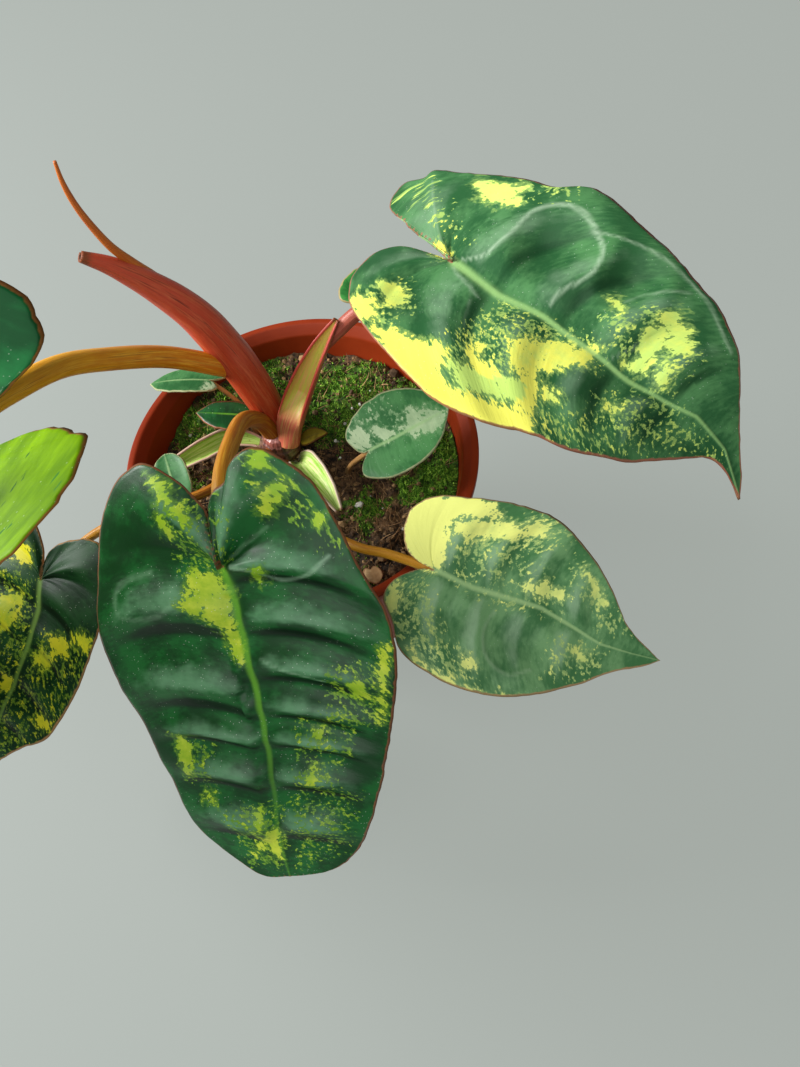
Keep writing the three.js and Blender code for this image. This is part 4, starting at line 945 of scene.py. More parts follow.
def sweep(route, facing, outlineAt, steps):
    # outlines of (side, front) pairs carried along a smooth route, closed at both ends by a
    # point; far is the distance of each ring from the start
    line = throughPoints(route, steps)
    tangent = unit(np.gradient(line, axis=0))
    side = unit(np.cross(np.array(facing, float), tangent))
    ahead = np.cross(tangent, side)
    outline = outlineAt(np.linspace(0, 1, steps))
    rings = line[:, None] + outline[..., :1] * side[:, None] + outline[..., 1:] * ahead[:, None]
    ends = [np.broadcast_to(ring.mean(0), ring.shape) for ring in (rings[0], rings[-1])]
    rings = np.concatenate([ends[0][None], rings, ends[1][None]])
    far = runLength(line)
    far = np.concatenate([far[:1], far, far[-1:]])
    return rings.reshape(-1, 3), asTriangles(gridQuads(len(rings), rings.shape[1], True)), far


def stalkOutline(stalk, sides):
    # a round section, its radius eased to a point over the last piece so that it ends under the
    # blade, swollen just before it; a rolled leaf has a spiral step instead
    angle, m = turns(sides), stalkMesh
    def outlineAt(t):
        radius = stations(stalk["radii"], t)
        if "seam" in stalk:
            turn = angle[None] / (2 * np.pi) + m["seamStart"] + m["seamTurn"] * t[:, None]
            radius = radius[:, None] * (1 - stalk["seam"] * (turn % 1))
        else:
            swell = 1 + m["swell"] * bell(t - m["swellAt"], m["swellWidth"])
            swell = swell - m["point"] * smoothStep(m["pointFrom"], 1, t)
            ridged = 1 + m["ridgeHeight"] * np.sin(m["ridges"] * angle)[None]
            radius = (radius * swell)[:, None] * ridged
        return np.stack([radius * np.cos(angle), radius * np.sin(angle)], -1)
    return outlineAt, angle


def sleeveFields(far, angle):
    # round the stalk as cosine and sine, and the distance along it
    ring = np.stack([np.cos(angle), np.sin(angle), np.zeros_like(angle)], 1)
    sleeve = np.broadcast_to(ring[None], (len(far), len(angle), 3)).copy()
    sleeve[..., 2] = far[:, None]
    return {"sleeve": sleeve.reshape(-1, 3), "share": np.repeat(far / far[-1], len(angle))}


stalkColours, stalkValues = ("low", "high", "streak", "light"), ("coat", "rough", "slot")
stalkLooks = {
    "golden": [(198, 108, 16), (228, 158, 20), (150, 80, 16), (252, 196, 64),
               0.25, 0.45, "petiole_ochre"],
    "ochre": [(148, 76, 16), (172, 116, 22), (120, 60, 14), (210, 160, 50),
              0.25, 0.45, "petiole_ochre"],
    "pinkRed": [(150, 62, 50), (150, 76, 58), (104, 30, 28), (196, 112, 86),
                0.3, 0.42, "petiole_red"],
    "tan": [(150, 112, 66), (168, 124, 70), (104, 74, 42), (190, 152, 100),
            0.1, 0.55, "stalk_tan"],
    "greenStalk": [(90, 110, 46), (96, 140, 62), (70, 84, 34), (140, 170, 90),
                   0.1, 0.5, "leaf_mid_green"],
    "rollOrange": [(182, 96, 26), (176, 80, 24), (134, 44, 26), (206, 140, 56),
                   0.35, 0.38, "rolled_leaf_orange"],
    "redSheath": [(166, 54, 24), (184, 72, 48), (92, 20, 16), (200, 104, 64),
                  0.25, 0.42, "sheath_red"],
    "openSheath": [(186, 84, 68), (160, 50, 42), (96, 28, 26), (206, 190, 104),
                   0.25, 0.45, "petiole_red"],
    "paleScale": [(136, 168, 70), (170, 186, 118), (116, 156, 62), (196, 208, 136),
                  0.15, 0.5, "scale_pale_green"],
    "greenScale": [(112, 160, 52), (122, 154, 70), (80, 126, 36), (170, 196, 104),
                   0.15, 0.5, "scale_pale_green"],
}
stalkLooks = {key: lookFrom(row, stalkColours, stalkValues) for key, row in stalkLooks.items()}
scorched = rgb(112, 66, 34)


def stalkFinish(name, look, inner=None, edge=None):
    # long streaks that follow the piece, a slow change of colour along it, and fine ribs; inner
    # colours the hollow face of a scale and edge its lips, with a scorched tip
    f = Finish(name, {"Coat Roughness": 0.3, "Specular IOR Level": 0.2})
    share = f.number("share")
    x, y, far = (f.field("sleeve", i) for i in range(3))
    streaks = f.noise(f.vector(x * 2.6, y * 2.6, far * 0.045), 1.6, 5, 0.7)
    fine = f.noise(f.vector(x * 9, y * 9, far * 0.05), 1.5, 3, 0.6)
    patches = f.noise(f.vector(x, y, far * 0.12), 1.1, 3, 0.6)
    colour = f.mix(f.ramp(share + patches.swing(0.6), 0.2, 0.9), look["low"], look["high"])
    colour = f.mix(f.ramp(streaks, 0.42, 0.7) * 0.6, colour, look["light"])
    colour = f.mix(f.ramp(fine + streaks.swing(0.6), 0.56, 0.74) * 0.75, colour, look["streak"])
    if inner:
        hollow = f.mix(f.ramp(streaks, 0.35, 0.65), rgb(*inner[0]), rgb(*inner[1]))
        colour = f.mix(f.ramp(f.number("inner"), 0.35, 0.75), colour, hollow)
        colour = f.mix(f.ramp(f.number("lip"), 0.3, 0.8) * 0.9, colour, rgb(*edge))
        tip = f.ramp(share + streaks.swing(0.05), 0.965, 0.99)
        colour = f.mix(tip * 0.8, colour, scorched)
    f.set({
        "Base Color": colour,
        "Roughness": look["rough"] + streaks.swing(0.2),
        "Coat Weight": 0.3 * look["coat"] + patches * 0.6 * look["coat"],
        "Normal": f.bump(streaks + fine * 0.6, 0.4, 0.0004),
    })
    return f


stalkFinishes = {}
for name, stalk in stalks.items():
    key = stalk["look"]
    if key not in stalkFinishes:
        stalkFinishes[key] = stalkFinish(key + "_finish", stalkLooks[key])
    thick = max(stalk["radii"]) > stalkMesh["thickFrom"]
    outlineAt, angle = stalkOutline(stalk, stalkMesh["sides"][0 if thick else 1])
    points, triangles, far = sweep(stalk["route"], stalkMesh["facing"], outlineAt,
                                   stalkMesh["rings"] * len(stalk["route"]))
    makePiece(name + "_dressed", points, triangles, name, stalkLooks[key]["slot"],
              stalkFinishes[key], sleeveFields(far, angle))
print("stalks done")


# slit is the share of a half turn that an open scale leaves, opening goes from 0 closed to 1 open
scales = {
    "red_sheath": dict(look="redSheath", facing=(0.45, 0.8, 0.3), slit=0.3, route=[
        (-4.4, 15, 85), (-5, 16.8, 97), (-6.6, 18.8, 110), (-10.3, 22.4, 126), (-16.2, 26.8, 142),
        (-24.2, 30, 154), (-32.6, 31.5, 164), (-39, 31.6, 170)],
        radii=[4.6, 5.4, 6, 6.2, 5.8, 4.8, 3.4, 1.6], opening=[0, 0, 0, 0.3, 0.9, 1, 1, 1],
        inner=[(176, 120, 70), (150, 70, 50)], edge=(120, 40, 40)),
    "petiole_2_sheath": dict(look="openSheath", facing=(-0.5, -0.6, 0.6), slit=0.75, route=[
        (-2.4, 7.6, 93), (0, 9, 101), (6, 11, 112), (13.5, 13.4, 122.4), (19.5, 15.2, 129),
        (24, 16.4, 133.4)],
        radii=[3.8, 4.6, 4.6, 3.9, 2.8, 1], opening=[0, 0.4, 1, 1, 1, 1],
        inner=[(184, 186, 74), (210, 158, 98)], edge=(172, 56, 50)),
    "left_bud_scale": dict(look="greenScale", facing=(-0.1, -0.5, 0.9), slit=1, route=[
        (-9.4, 12.6, 87), (-15, 17, 89), (-22, 19.3, 90.6), (-32, 16.8, 92), (-41, 15, 91.5),
        (-48, 14.6, 89.4)],
        radii=[1.4, 2.8, 3.8, 3.8, 3, 1.2], opening=[1] * 6,
        inner=[(134, 176, 56), (188, 208, 120)], edge=(186, 150, 136)),
    "right_bud_scale": dict(look="paleScale", facing=(0.1, -0.3, 0.95), slit=1, route=[
        (-2.2, 4.6, 88), (-0.6, 0.2, 93), (1.8, -8, 95.5), (4.2, -16.5, 95), (6, -24, 91)],
        radii=[3.4, 4.8, 4.6, 3.4, 1.4], opening=[1] * 5,
        inner=[(124, 170, 46), (196, 204, 136)], edge=(206, 180, 160)),
}
scaleMesh = {"wall": 0.9, "thinnest": 0.2, "sides": 40, "rings": 24, "lipSharpness": 12}


def scaleOutline(scale, sides):
    # an outer arc that leaves a slit towards the front, and back along an inner arc: a flat chord
    # over the slit where the scale is closed, a trough one wall thinner where it is open
    half = scale["slit"] * np.pi / 2
    share = np.linspace(0, 1, sides)[None]
    back = np.pi / 2 + half + share * 2 * (np.pi - half)
    front = np.pi / 2 - half + share * 2 * half
    trough = back[:, ::-1]
    def arc(radius, angle):
        # (r cos a, r sin a)
        return np.stack([radius * np.cos(angle), radius * np.sin(angle)], -1)
    def outlineAt(t):
        radius = stations(scale["radii"], t)[:, None]
        opening = stations(scale["opening"], t)[:, None, None]
        within = np.maximum(radius - scaleMesh["wall"], scaleMesh["thinnest"] * radius)
        closed = arc(radius, front)
        inner = closed + (arc(within, trough) - closed) * opening
        return np.concatenate([arc(radius, back), inner], 1)
    return outlineAt, np.concatenate([back[0], trough[0]])


for name, scale in scales.items():
    sides, look = scaleMesh["sides"], stalkLooks[scale["look"]]
    outlineAt, angle = scaleOutline(scale, sides)
    points, triangles, far = sweep(scale["route"], scale["facing"], outlineAt,
                                   scaleMesh["rings"] * len(scale["route"]))
    fields = sleeveFields(far, angle)
    opening = stations(scale["opening"], far / far[-1])[:, None]
    lip = np.abs(np.linspace(-1, 1, sides)) ** scaleMesh["lipSharpness"]
    fields["inner"] = (opening * np.repeat([0.0, 1.0], sides)).reshape(-1)
    fields["lip"] = (opening * np.tile(lip, 2)).reshape(-1)
    finish = stalkFinish(name + "_finish", look, scale["inner"], scale["edge"])
    makePiece(name + "_dressed", points, triangles, name, look["slot"], finish, fields)
print("sheath and scales done")


stem = {"centre": (-5.6, 10.8), "z": [62, 74, 85, 88, 90.5, 93, 96],
        "radii": [2.4, 4.6, 6.2, 7.4, 6.9, 5.6, 4], "rings": [86.4, 89.2, 91.4, 93.4],
        "ringHeight": 0.28, "ringWidth": 0.35, "ringSlant": 0.25, "broadFold": (9, 0.12),
        "fineFold": (23, 0.08), "foldTwist": 0.3, "sides": 96, "rows": 120}


def stemSurface():
    # radius from the stations, with a raised scar round each ring height and shallow lengthwise
    # folds; the first and last rows are points on the axis
    z = np.linspace(stem["z"][0], stem["z"][-1], stem["rows"])[:, None]
    angle = turns(stem["sides"])
    radius = np.interp(z, stem["z"], stem["radii"])
    for ring in stem["rings"]:
        scar = bell(z - ring - stem["ringSlant"] * np.sin(2 * angle), stem["ringWidth"])
        radius = radius + stem["ringHeight"] * scar
    (broad, broadHeight), (fine, fineHeight) = stem["broadFold"], stem["fineFold"]
    radius = radius + broadHeight * np.sin(broad * angle + stem["foldTwist"] * z)
    radius = radius + fineHeight * np.sin(fine * angle)
    radius[[0, -1]] = 0
    return lathe(radius, z, stem["sides"], stem["centre"])


def stemFinish():
    # brown bark below, blushed red above the soil
    f = Finish("stem_finish", {"Coat Roughness": 0.25})
    where = f.place()
    fibres = f.noise(f.stretched(where, (900, 900, 160)), 1, 4, 0.65)
    bark = f.mix(f.ramp(fibres, 0.3, 0.7), rgb(40, 22, 17), rgb(106, 64, 48))
    blush = f.mix(f.ramp(fibres, 0.3, 0.75), rgb(112, 50, 42), rgb(168, 100, 86))
    height = f.part(where, 2)
    f.set({"Base Color": f.mix(f.ramp(height + fibres.swing(0.004), 0.0925, 0.0955), bark, blush),
           "Roughness": 0.4 + fibres.swing(0.3),
           "Coat Weight": f.ramp(fibres, 0.3, 0.6) * 0.5,
           "Normal": f.bump(fibres, 0.6, 0.0006)})
    return f


makePiece("stem_dressed", *stemSurface(), "stem", "stem_bark", stemFinish())
print("stem done")


pot = {"height": 95, "rimRadius": 60.5, "baseRadius": 41, "wall": 1.8, "floor": 2.6,
       "lipHeight": 4, "lipOverhang": 1.7, "lipWidth": 2.2, "lipEdge": 0.4, "bevel": 0.8,
       "shoulderDrop": 20, "shoulderStep": 1, "shoulderRise": 1.5, "floorCorner": 4,
       "cornerRadius": 0.7, "holes": 8, "holeRadius": 3.5, "holeRing": 28, "sides": 176,
       "drillSides": 40, "drillFrom": -6, "drillTo": 9, "sharpDegrees": 38}


def outerRadius(z):
    # straight from the base to under the lip
    top = pot["rimRadius"] - pot["lipOverhang"]
    return pot["baseRadius"] + (top - pot["baseRadius"]) * z / pot["height"]


def insideRadius(z):
    # the outside less the shoulder's step and the wall
    return outerRadius(z) - pot["shoulderStep"] - pot["wall"]


def roundedProfile(profile, radius, steps=5):
    # each corner is replaced by a short arc: a blend of the way in and the way out, squared
    p = np.array(profile, float)
    before, after = p[:-2] - p[1:-1], p[2:] - p[1:-1]
    shorter = np.minimum(np.linalg.norm(before, axis=1), np.linalg.norm(after, axis=1))
    reach = np.minimum(shorter * 0.45, radius)[:, None]
    t = np.linspace(0, 1, steps)[None, :, None]
    arcs = (p[1:-1][:, None] + (unit(before) * reach)[:, None] * (1 - t) ** 2
            + (unit(after) * reach)[:, None] * t**2)
    return np.vstack([p[:1], arcs.reshape(-1, 2), p[-1:]])


def potSurface():
    # the profile, halved once between its points, turned about the z axis
    height, rim, edge, floor = (pot[k] for k in ("height", "rimRadius", "lipEdge", "floor"))
    lip, shoulder = height - pot["lipHeight"], height - pot["shoulderDrop"]
    above, corner = shoulder + pot["shoulderRise"], floor + pot["floorCorner"]
    profile = roundedProfile([
        (0, 0), (pot["baseRadius"] - pot["shoulderStep"], 0),
        (outerRadius(shoulder) - pot["shoulderStep"], shoulder), (outerRadius(above), above),
        (outerRadius(lip), lip), (rim, lip + pot["bevel"]), (rim, height - edge / 2),
        (rim - edge, height), (rim - pot["lipWidth"], height),
        (insideRadius(lip), lip + pot["bevel"]), (insideRadius(corner), corner),
        (insideRadius(floor) - pot["floorCorner"] / 2, floor), (0, floor)], pot["cornerRadius"])
    halves = np.array([0, 0.5])[None, :, None]
    between = profile[:-1, None] + (profile[1:] - profile[:-1])[:, None] * halves
    profile = np.vstack([between.reshape(-1, 2), profile[-1:]])
    return lathe(profile[:, :1], profile[:, 1:], pot["sides"])


def potFinish():
    # cloudy terracotta, the inside of the wall darker as painted shade, with dirt above the soil
    # and pale scuffs
    f = Finish("pot_finish", {"Specular IOR Level": 0.15})
    where = f.place()
    x, y, z = (f.part(where, i) for i in range(3))
    away = (x * x + y * y).math("SQRT")
    cloud, grain = f.noise(where, 26, 4, 0.6), f.noise(where, 1500, 2, 0.6)
    scuffs = f.noise(f.stretched(where, (90, 90, 700)), 1, 5, 0.7)
    colour = f.mix(f.ramp(cloud, 0.3, 0.7), rgb(120, 38, 10), rgb(138, 48, 16))
    # painted shade: the inside of the wall, below the rim, is made darker
    inner = f.ramp(away - (z * 0.178 + 0.0385), 0.0002, -0.0004)
    colour = f.mix(inner * f.ramp(z, 0.0945, 0.093), colour, rgb(108, 38, 14))
    dirt = f.ramp(cloud + scuffs * 0.7, 0.85, 1.05) * f.ramp(z, 0.094, 0.086) * inner
    colour = f.mix(dirt * 0.7, colour, rgb(62, 42, 30))
    colour = f.mix(f.ramp(scuffs, 0.66, 0.78) * 0.35, colour, rgb(196, 112, 74))
    f.set({"Base Color": colour, "Roughness": 0.5 + cloud.swing(0.25),
           "Normal": f.bump(grain * 0.5 + scuffs, 0.18, 0.0003)})
    return f


def cutHoles(piece):
    # closed round drills, one grid each, taken out of the floor by a boolean that is then applied
    z = np.repeat([pot["drillFrom"], pot["drillTo"]], 2)[:, None]
    radius = np.array([0, 1, 1, 0])[:, None] * pot["holeRadius"]
    drills, faces = [], []
    for i in range(pot["holes"]):
        turn = 2 * math.pi * (i + 0.5) / pot["holes"]
        centre = pot["holeRing"] * math.cos(turn), pot["holeRing"] * math.sin(turn)
        points, triangles = lathe(radius, z, pot["drillSides"], centre)
        faces.append(triangles + len(points) * i)
        drills.append(points)
    points, triangles, _ = weld(np.vstack(drills), np.vstack(faces), {})
    drill = placed("drills", meshOf("drills", points, facingOut(points, triangles)))
    cut = piece.modifiers.new("drain holes", "BOOLEAN")
    cut.operation, cut.object, cut.solver = "DIFFERENCE", drill, "EXACT"
    graph = bpy.context.evaluated_depsgraph_get()
    done = bpy.data.meshes.new_from_object(piece.evaluated_get(graph))
    piece.modifiers.clear()
    piece.data = done
    bpy.data.objects.remove(drill)
    piece.data.set_sharp_from_angle(angle=math.radians(pot["sharpDegrees"]))


cutHoles(makePiece("pot_dressed", *potSurface(), "pot", "pot_terracotta", potFinish()))
print("pot done")


soil = {"top": 83.4, "roll": 1.1, "mound": 2.2, "bank": 3.4, "bankCentre": (-24, 48),
        "spread": 500, "gap": 0.3, "wallGap": 0.4, "rings": 150, "sides": 260,
        "longWave": (0.13, 1.2, 0.11), "shortWave": (0.21, 0.5), "sink": 0.5, "softened": 0.4,
        "relief": [(1.5, 5, 11), (0.8, 2.1, 12), (0.4, 0.9, 13)]}
# noises hold height, size and seed; places are round spots where moss grows, each with its centre
# x and y, its radius, and how bright it is
moss = {"tries": 110000, "most": 24000, "past": 0.6, "clump": (3.4, 21), "tuft": (1.5, 22),
        "tuftShare": 0.6, "between": 0.12, "clumpEdge": (-0.35, 0.3), "edge": (3, -5),
        "wobble": [(5, 6, 3), (3, 2.4, 4)], "places": [
            (44, -26, 15, 1), (38, -18, 10, 0.9), (50, -10, 10, 0.6), (22, 22, 20, 0.45),
            (38, 12, 16, 0.5), (-6, 46, 16, 0.35), (-30, 34, 14, 0.45), (-44, 14, 10, 0.3),
            (30, -2, 12, 0.4), (6, 34, 14, 0.4), (14, -22, 7, 0.7), (-20, -20, 22, 0.4),
            (0, -44, 12, 0.35), (50, 18, 10, 0.5), (-44, -24, 12, 0.5)]}


def soilHeight(x, y):
    # two low hills, two slow waves
    def hill(centre):
        return np.exp(-((x - centre[0]) ** 2 + (y - centre[1]) ** 2) / soil["spread"])
    (along, start, across), (short, share) = soil["longWave"], soil["shortWave"]
    waves = np.sin(along * x + start) * np.cos(across * y) + share * np.sin(short * (x + y))
    return (soil["top"] + soil["mound"] * hill(stem["centre"])
            + soil["bank"] * hill(soil["bankCentre"]) + soil["roll"] * waves)


def noises(x, y, layers):
    # lattice noises of several sizes, each times its height, added up
    return sum(height * latticeNoise(x, y, size, seed) for height, size, seed in layers)


def mossAmount(x, y):
    # the strongest of the round places, its edge made ragged by lattice noise
    wobble, amount = noises(x, y, moss["wobble"]), np.zeros_like(x)
    for cx, cy, radius, strength in moss["places"]:
        beyond = np.hypot(x - cx, y - cy) - radius + wobble
        amount = np.maximum(amount, strength * smoothStep(*moss["edge"], beyond))
    return amount


def soilRelief(x, y):
    # crumbs of three sizes on the smooth height, softer under moss
    rough = noises(x, y, soil["relief"]) * (1 - soil["softened"] * mossAmount(x, y))
    return soilHeight(x, y) - soil["sink"] + rough


def soilSurface():
    # rings of points from the middle to the wall on top, then down the wall and in over the floor
    rim = np.linspace(0, insideRadius(soil["top"]) - soil["wallGap"], soil["rings"])[:, None]
    angle = turns(soil["sides"])
    floor, corner = pot["floor"], pot["floor"] + pot["floorCorner"]
    within = insideRadius(floor) - pot["floorCorner"] / 2
    low = np.array([(insideRadius(corner) - soil["wallGap"], corner),
                    (within - soil["wallGap"], floor + soil["gap"]), (0, floor + soil["gap"])])
    height = soilRelief(rim * np.cos(angle), rim * np.sin(angle))
    height = np.vstack([height, np.repeat(low[:, 1:], soil["sides"], axis=1)])
    return lathe(np.vstack([rim, low[:, :1]]), height, soil["sides"])


def soilFinish():
    # dark crumbs, green where the moss attribute is
    f = Finish("soil_finish", {"Specular IOR Level": 0.25})
    where = f.place()
    crumbs, patches = f.noise(where, 420, 5, 0.7), f.noise(where, 60, 4, 0.6)
    earth = f.mix(f.ramp(crumbs + patches.swing(0.6), 0.32, 0.72), rgb(24, 18, 12),
                  rgb(112, 84, 56))
    green = f.mix(f.ramp(crumbs, 0.35, 0.7), rgb(28, 50, 12), rgb(92, 132, 36))
    mossy = f.ramp(f.number("moss") + patches.swing(0.5), 0.1, 0.5)
    f.set({"Base Color": f.mix(mossy, earth, green), "Roughness": 0.9 + crumbs.swing(0.2),
           "Normal": f.bump(crumbs + patches, 0.9, 0.0012)})
    return f


points, triangles = soilSurface()
makePiece("soil_surface", points, triangles, "soil", "potting_soil", soilFinish(),
          {"moss": mossAmount(points[:, 0], points[:, 1])})


def scatter(shape, centres, sizes, tilt):
    # copies of a small closed shape: each is stretched by its sizes, spun about its own axis,
    # leant by up to tilt from upright in any direction, and moved to its centre
    count = len(centres)
    spin, lean, way = (chance.uniform(0, top, count)[:, None]
                       for top in (2 * np.pi, tilt, 2 * np.pi))
    def about(p, angle, i, j):
        # p turned by the angle in the plane of its coordinates i and j
        c, s, moved = np.cos(angle), np.sin(angle), p.copy()
        moved[..., i] = p[..., i] * c - p[..., j] * s
        moved[..., j] = p[..., i] * s + p[..., j] * c
        return moved
    p = about(shape["points"][None] * sizes[:, None], spin, 0, 1)
    p = about(about(p, lean, 2, 0), way, 0, 1)
    first = np.arange(count) * len(shape["points"])
    triangles = (shape["faces"][None] + first[:, None, None]).reshape(-1, 3)
    return (p + centres[:, None]).reshape(-1, 3), triangles


def spotsOnSoil(count, reach, keep=None):
    # random places on the soil; keep(x, y) gives the chance of each place staying
    radius = reach * np.sqrt(chance.uniform(0, 1, count))
    angle = chance.uniform(0, 2 * np.pi, count)
    x, y = radius * np.cos(angle), radius * np.sin(angle)
    if keep is not None:
        stay = chance.uniform(0, 1, count) < keep(x, y)
        x, y = x[stay], y[stay]
    return np.stack([x, y, soilRelief(x, y)], 1)


# a crumb is a ball of twenty faces; g is the golden ratio
g = (1 + 5**0.5) / 2
ball = {"points": unit(np.array([
    (-1, g, 0), (1, g, 0), (-1, -g, 0), (1, -g, 0), (0, -1, g), (0, 1, g), (0, -1, -g), (0, 1, -g),
    (g, 0, -1), (g, 0, 1), (-g, 0, -1), (-g, 0, 1)])), "faces": np.array([
        (0, 11, 5), (0, 5, 1), (0, 1, 7), (0, 7, 10), (0, 10, 11), (1, 5, 9), (5, 11, 4),
        (11, 10, 2), (10, 7, 6), (7, 1, 8), (3, 9, 4), (3, 4, 2), (3, 2, 6), (3, 6, 8),
        (3, 8, 9), (4, 9, 5), (2, 4, 11), (6, 2, 10), (8, 6, 7), (9, 8, 1)])}
leaflet = {"points": np.array([(-0.5, 0, 0), (0.5, 0, 0), (0, 0.35, 0.1), (0, 0, 1.0)]),
           "faces": np.array([(2, 1, 0), (0, 1, 3), (1, 2, 3), (2, 0, 3)])}
fibre = {"steps": 6, "bow": 6, "thinning": 0.6, "section": [(0.5, 0.29), (-0.5, 0.29), (0, -0.58)]}


def fibreShape():
    # a three-sided rod of unit length that bows by t (1 - t) and thins towards its end
    t, last = np.linspace(0, 1, fibre["steps"])[:, None], fibre["steps"] * 3 - 1
    section = np.array(fibre["section"])
    thin = 1 - fibre["thinning"] * t
    x, y = section[:, 0] * thin, section[:, 1] * thin + fibre["bow"] * (t - t**2)
    points = np.stack([x, y, np.broadcast_to(t, x.shape)], -1).reshape(-1, 3)
    faces = np.vstack([asTriangles(gridQuads(fibre["steps"], 3, True)), [(0, 1, 2)],
                       [(last, last - 1, last - 2)]])
    return {"points": points, "faces": facingOut(points, faces)}


def shadeFinish(name, stops):
    # a colour from the stops by each copy's own shade, speckled
    f = Finish(name, {"Specular IOR Level": 0.3})
    speckle = f.noise(f.place(), 900, 3, 0.6)
    stops = [(position, rgb(*colour)) for position, colour in stops]
    f.set({"Base Color": f.gradient(f.number("shade") * 0.75 + speckle * 0.25, stops),
           "Roughness": 0.85 + speckle.swing(0.2), "Normal": f.bump(speckle, 0.4, 0.0004)})
    return f


def scatterPiece(name, shape, centres, sizes, kind, finishName):
    # copies of the shape on the soil; each carries a random shade
    points, triangles = scatter(shape, centres, sizes, kind["tilt"])
    shade = np.repeat(chance.uniform(0, 1, len(centres)), len(shape["points"]))
    makePiece(name, points, triangles, "soil", "potting_soil",
              shadeFinish(finishName, kind["stops"]), {"shade": shade}, True)


def lumpy(kind, base):
    # sizes of stout copies, each side its own share of the base
    return base * chance.uniform(*kind["sides"], (len(base), 3))


def slender(kind, count):
    # sizes of upright copies, as wide as they are deep
    wide = chance.uniform(*kind["widths"], (count, 1))
    return np.hstack([wide, wide, chance.uniform(*kind["lengths"], (count, 1))])


reach = insideRadius(soil["top"]) - 1.5
# how many are tried, how much less likely they are in moss, how far they stay within reach and
# stand above the soil, their sizes, their tilt in radians and their colours
crumbs = {"tries": 3000, "shunned": 0.8, "size": (-0.6, 0.45), "sides": (0.6, 1.2), "tilt": 3.1,
          "stops": [(0.0, (18, 13, 9)), (0.55, (94, 70, 46)), (1.0, (176, 140, 94))]}
fibres = {"tries": 1500, "shunned": 0.7, "within": 3, "lift": 0.3, "widths": (0.12, 0.3),
          "lengths": (2, 7), "tilt": 1.7,
          "stops": [(0.0, (70, 46, 28)), (0.5, (132, 96, 60)), (1.0, (190, 152, 104))]}
moss.update({"widths": (0.35, 0.75), "lengths": (0.8, 2.1), "tilt": 1.1, "stops": [
    (0.0, (12, 32, 6)), (0.5, (84, 136, 30)), (1.0, (184, 222, 84))]})
perlite = {"tries": 34, "within": 4, "lift": 0.4, "size": (0.35, 0.95), "sides": (0.7, 1.2),
           "tilt": 3.1, "stops": [(0.0, (176, 170, 156)), (1.0, (228, 224, 212))],
           "chip": (13.2, -20.1), "chipLift": 0.6, "chipSize": (2, 1.2, 1)}

centres = spotsOnSoil(crumbs["tries"], reach, lambda x, y: 1 - crumbs["shunned"] * mossAmount(x, y))
sizes = lumpy(crumbs, chance.lognormal(*crumbs["size"], (len(centres), 1)))
scatterPiece("soil_crumbs", ball, centres, sizes, crumbs, "crumb_finish")

centres = spotsOnSoil(fibres["tries"], reach - fibres["within"],
                      lambda x, y: 1 - fibres["shunned"] * mossAmount(x, y))
centres[:, 2] += fibres["lift"]
scatterPiece("soil_fibres", fibreShape(), centres, slender(fibres, len(centres)), fibres,
             "fibre_finish")


def mossClumps(x, y):
    # how likely a leaflet grows: the amount of moss, thinned between clumps by lattice noise
    clump = latticeNoise(x, y, *moss["clump"])
    clump = clump + moss["tuftShare"] * latticeNoise(x, y, *moss["tuft"])
    full = smoothStep(*moss["clumpEdge"], clump)
    return mossAmount(x, y) * (moss["between"] + (1 - moss["between"]) * full)


centres = spotsOnSoil(moss["tries"], reach + moss["past"], mossClumps)[:moss["most"]]
scatterPiece("moss", leaflet, centres, slender(moss, len(centres)), moss, "moss_finish")

centres = spotsOnSoil(perlite["tries"], reach - perlite["within"])
centres[:, 2] += perlite["lift"]
sizes = lumpy(perlite, chance.uniform(*perlite["size"], (len(centres), 1)))
# the first grain is the larger pale chip between leaf 1 and leaf 4
x, y = np.array(perlite["chip"])[:, None]
centres[0] = (x[0], y[0], soilRelief(x, y)[0] + perlite["chipLift"])
sizes[0] = perlite["chipSize"]
scatterPiece("perlite", ball, centres, sizes, perlite, "perlite_finish")
print("soil done")


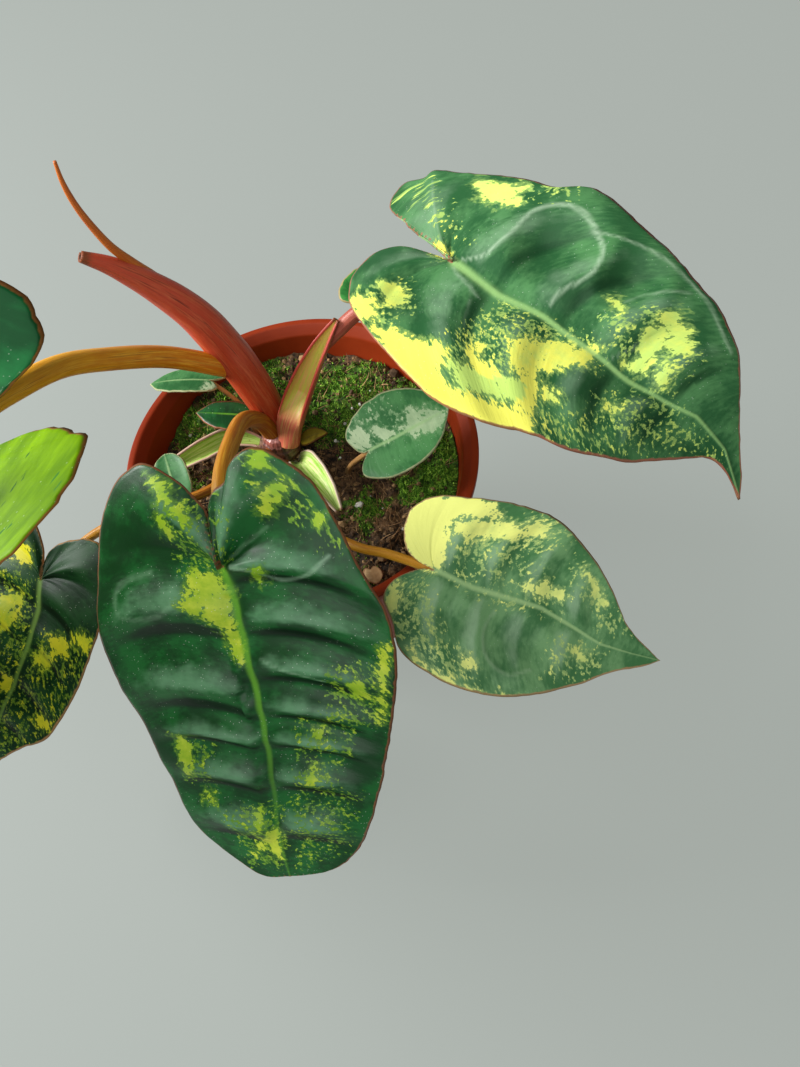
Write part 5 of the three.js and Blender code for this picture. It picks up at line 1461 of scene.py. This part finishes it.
def floorPiece(half=3000):
    # a square on z = 0 that glows a little, as the photo's pale backdrop does
    corners = np.array([(-half, -half, 0), (half, -half, 0), (half, half, 0), (-half, half, 0)])
    mesh = meshOf("floor", corners, np.array([(0, 1, 2, 3)]))
    f = Finish("floor_finish", {
        "Roughness": 0.85, "Base Color": rgb(58, 62, 60), "Emission Strength": 1.0,
        "Emission Color": rgb(157, 163, 157)})
    mesh.materials.append(f.material)
    placed("floor", mesh)


floorPiece()

# places in metres, sizes of the square lamps in metres
lights = {
    "key": dict(at=(-0.78, 0.34, 0.62), to=(-0.02, -0.02, 0.1), size=0.45, watts=24),
    "top": dict(at=(-0.35, -0.55, 1.0), to=(0, -0.03, 0.1), size=1.0, watts=9),
}
for name, light in lights.items():
    lamp = bpy.data.lights.new(name, "AREA")
    lamp.size, lamp.energy = light["size"], light["watts"]
    holder = placed(name, lamp)
    holder.location = light["at"]
    aim = Vector(light["to"]) - Vector(light["at"])
    holder.rotation_euler = aim.to_track_quat("-Z", "Y").to_euler()

sky = {"Color": (0.9, 0.95, 1.0, 1), "Strength": 0.22}
world = bpy.data.worlds.new("studio")
world.use_nodes = True
for socket, value in sky.items():
    world.node_tree.nodes["Background"].inputs[socket].default_value = value
bpy.context.scene.world = world
bpy.context.scene.view_settings.view_transform = "Standard"

# the photograph's camera: where it stands, its right, upward and backward directions
camera = {"at": (0, -159.917, 320.019), "right": (0.94176, -0.32631, -0.08135),
          "up": (0.32549, 0.82358, 0.46452), "back": (-0.08458, -0.46394, 0.88182),
          "focalPixels": 801, "heightPixels": 1067, "sensor": 36, "nearest": 0.01}
lens = bpy.data.cameras.new("camera")
lens.sensor_fit = "VERTICAL"
lens.sensor_height = camera["sensor"]
lens.lens = camera["focalPixels"] / camera["heightPixels"] * camera["sensor"]
lens.clip_start = camera["nearest"]
viewer = placed("camera", lens)
turn = Matrix((camera["right"], camera["up"], camera["back"])).transposed().to_4x4()
viewer.matrix_world = Matrix.Translation(Vector(camera["at"]) * mm) @ turn
bpy.context.scene.camera = viewer

print("scene done")
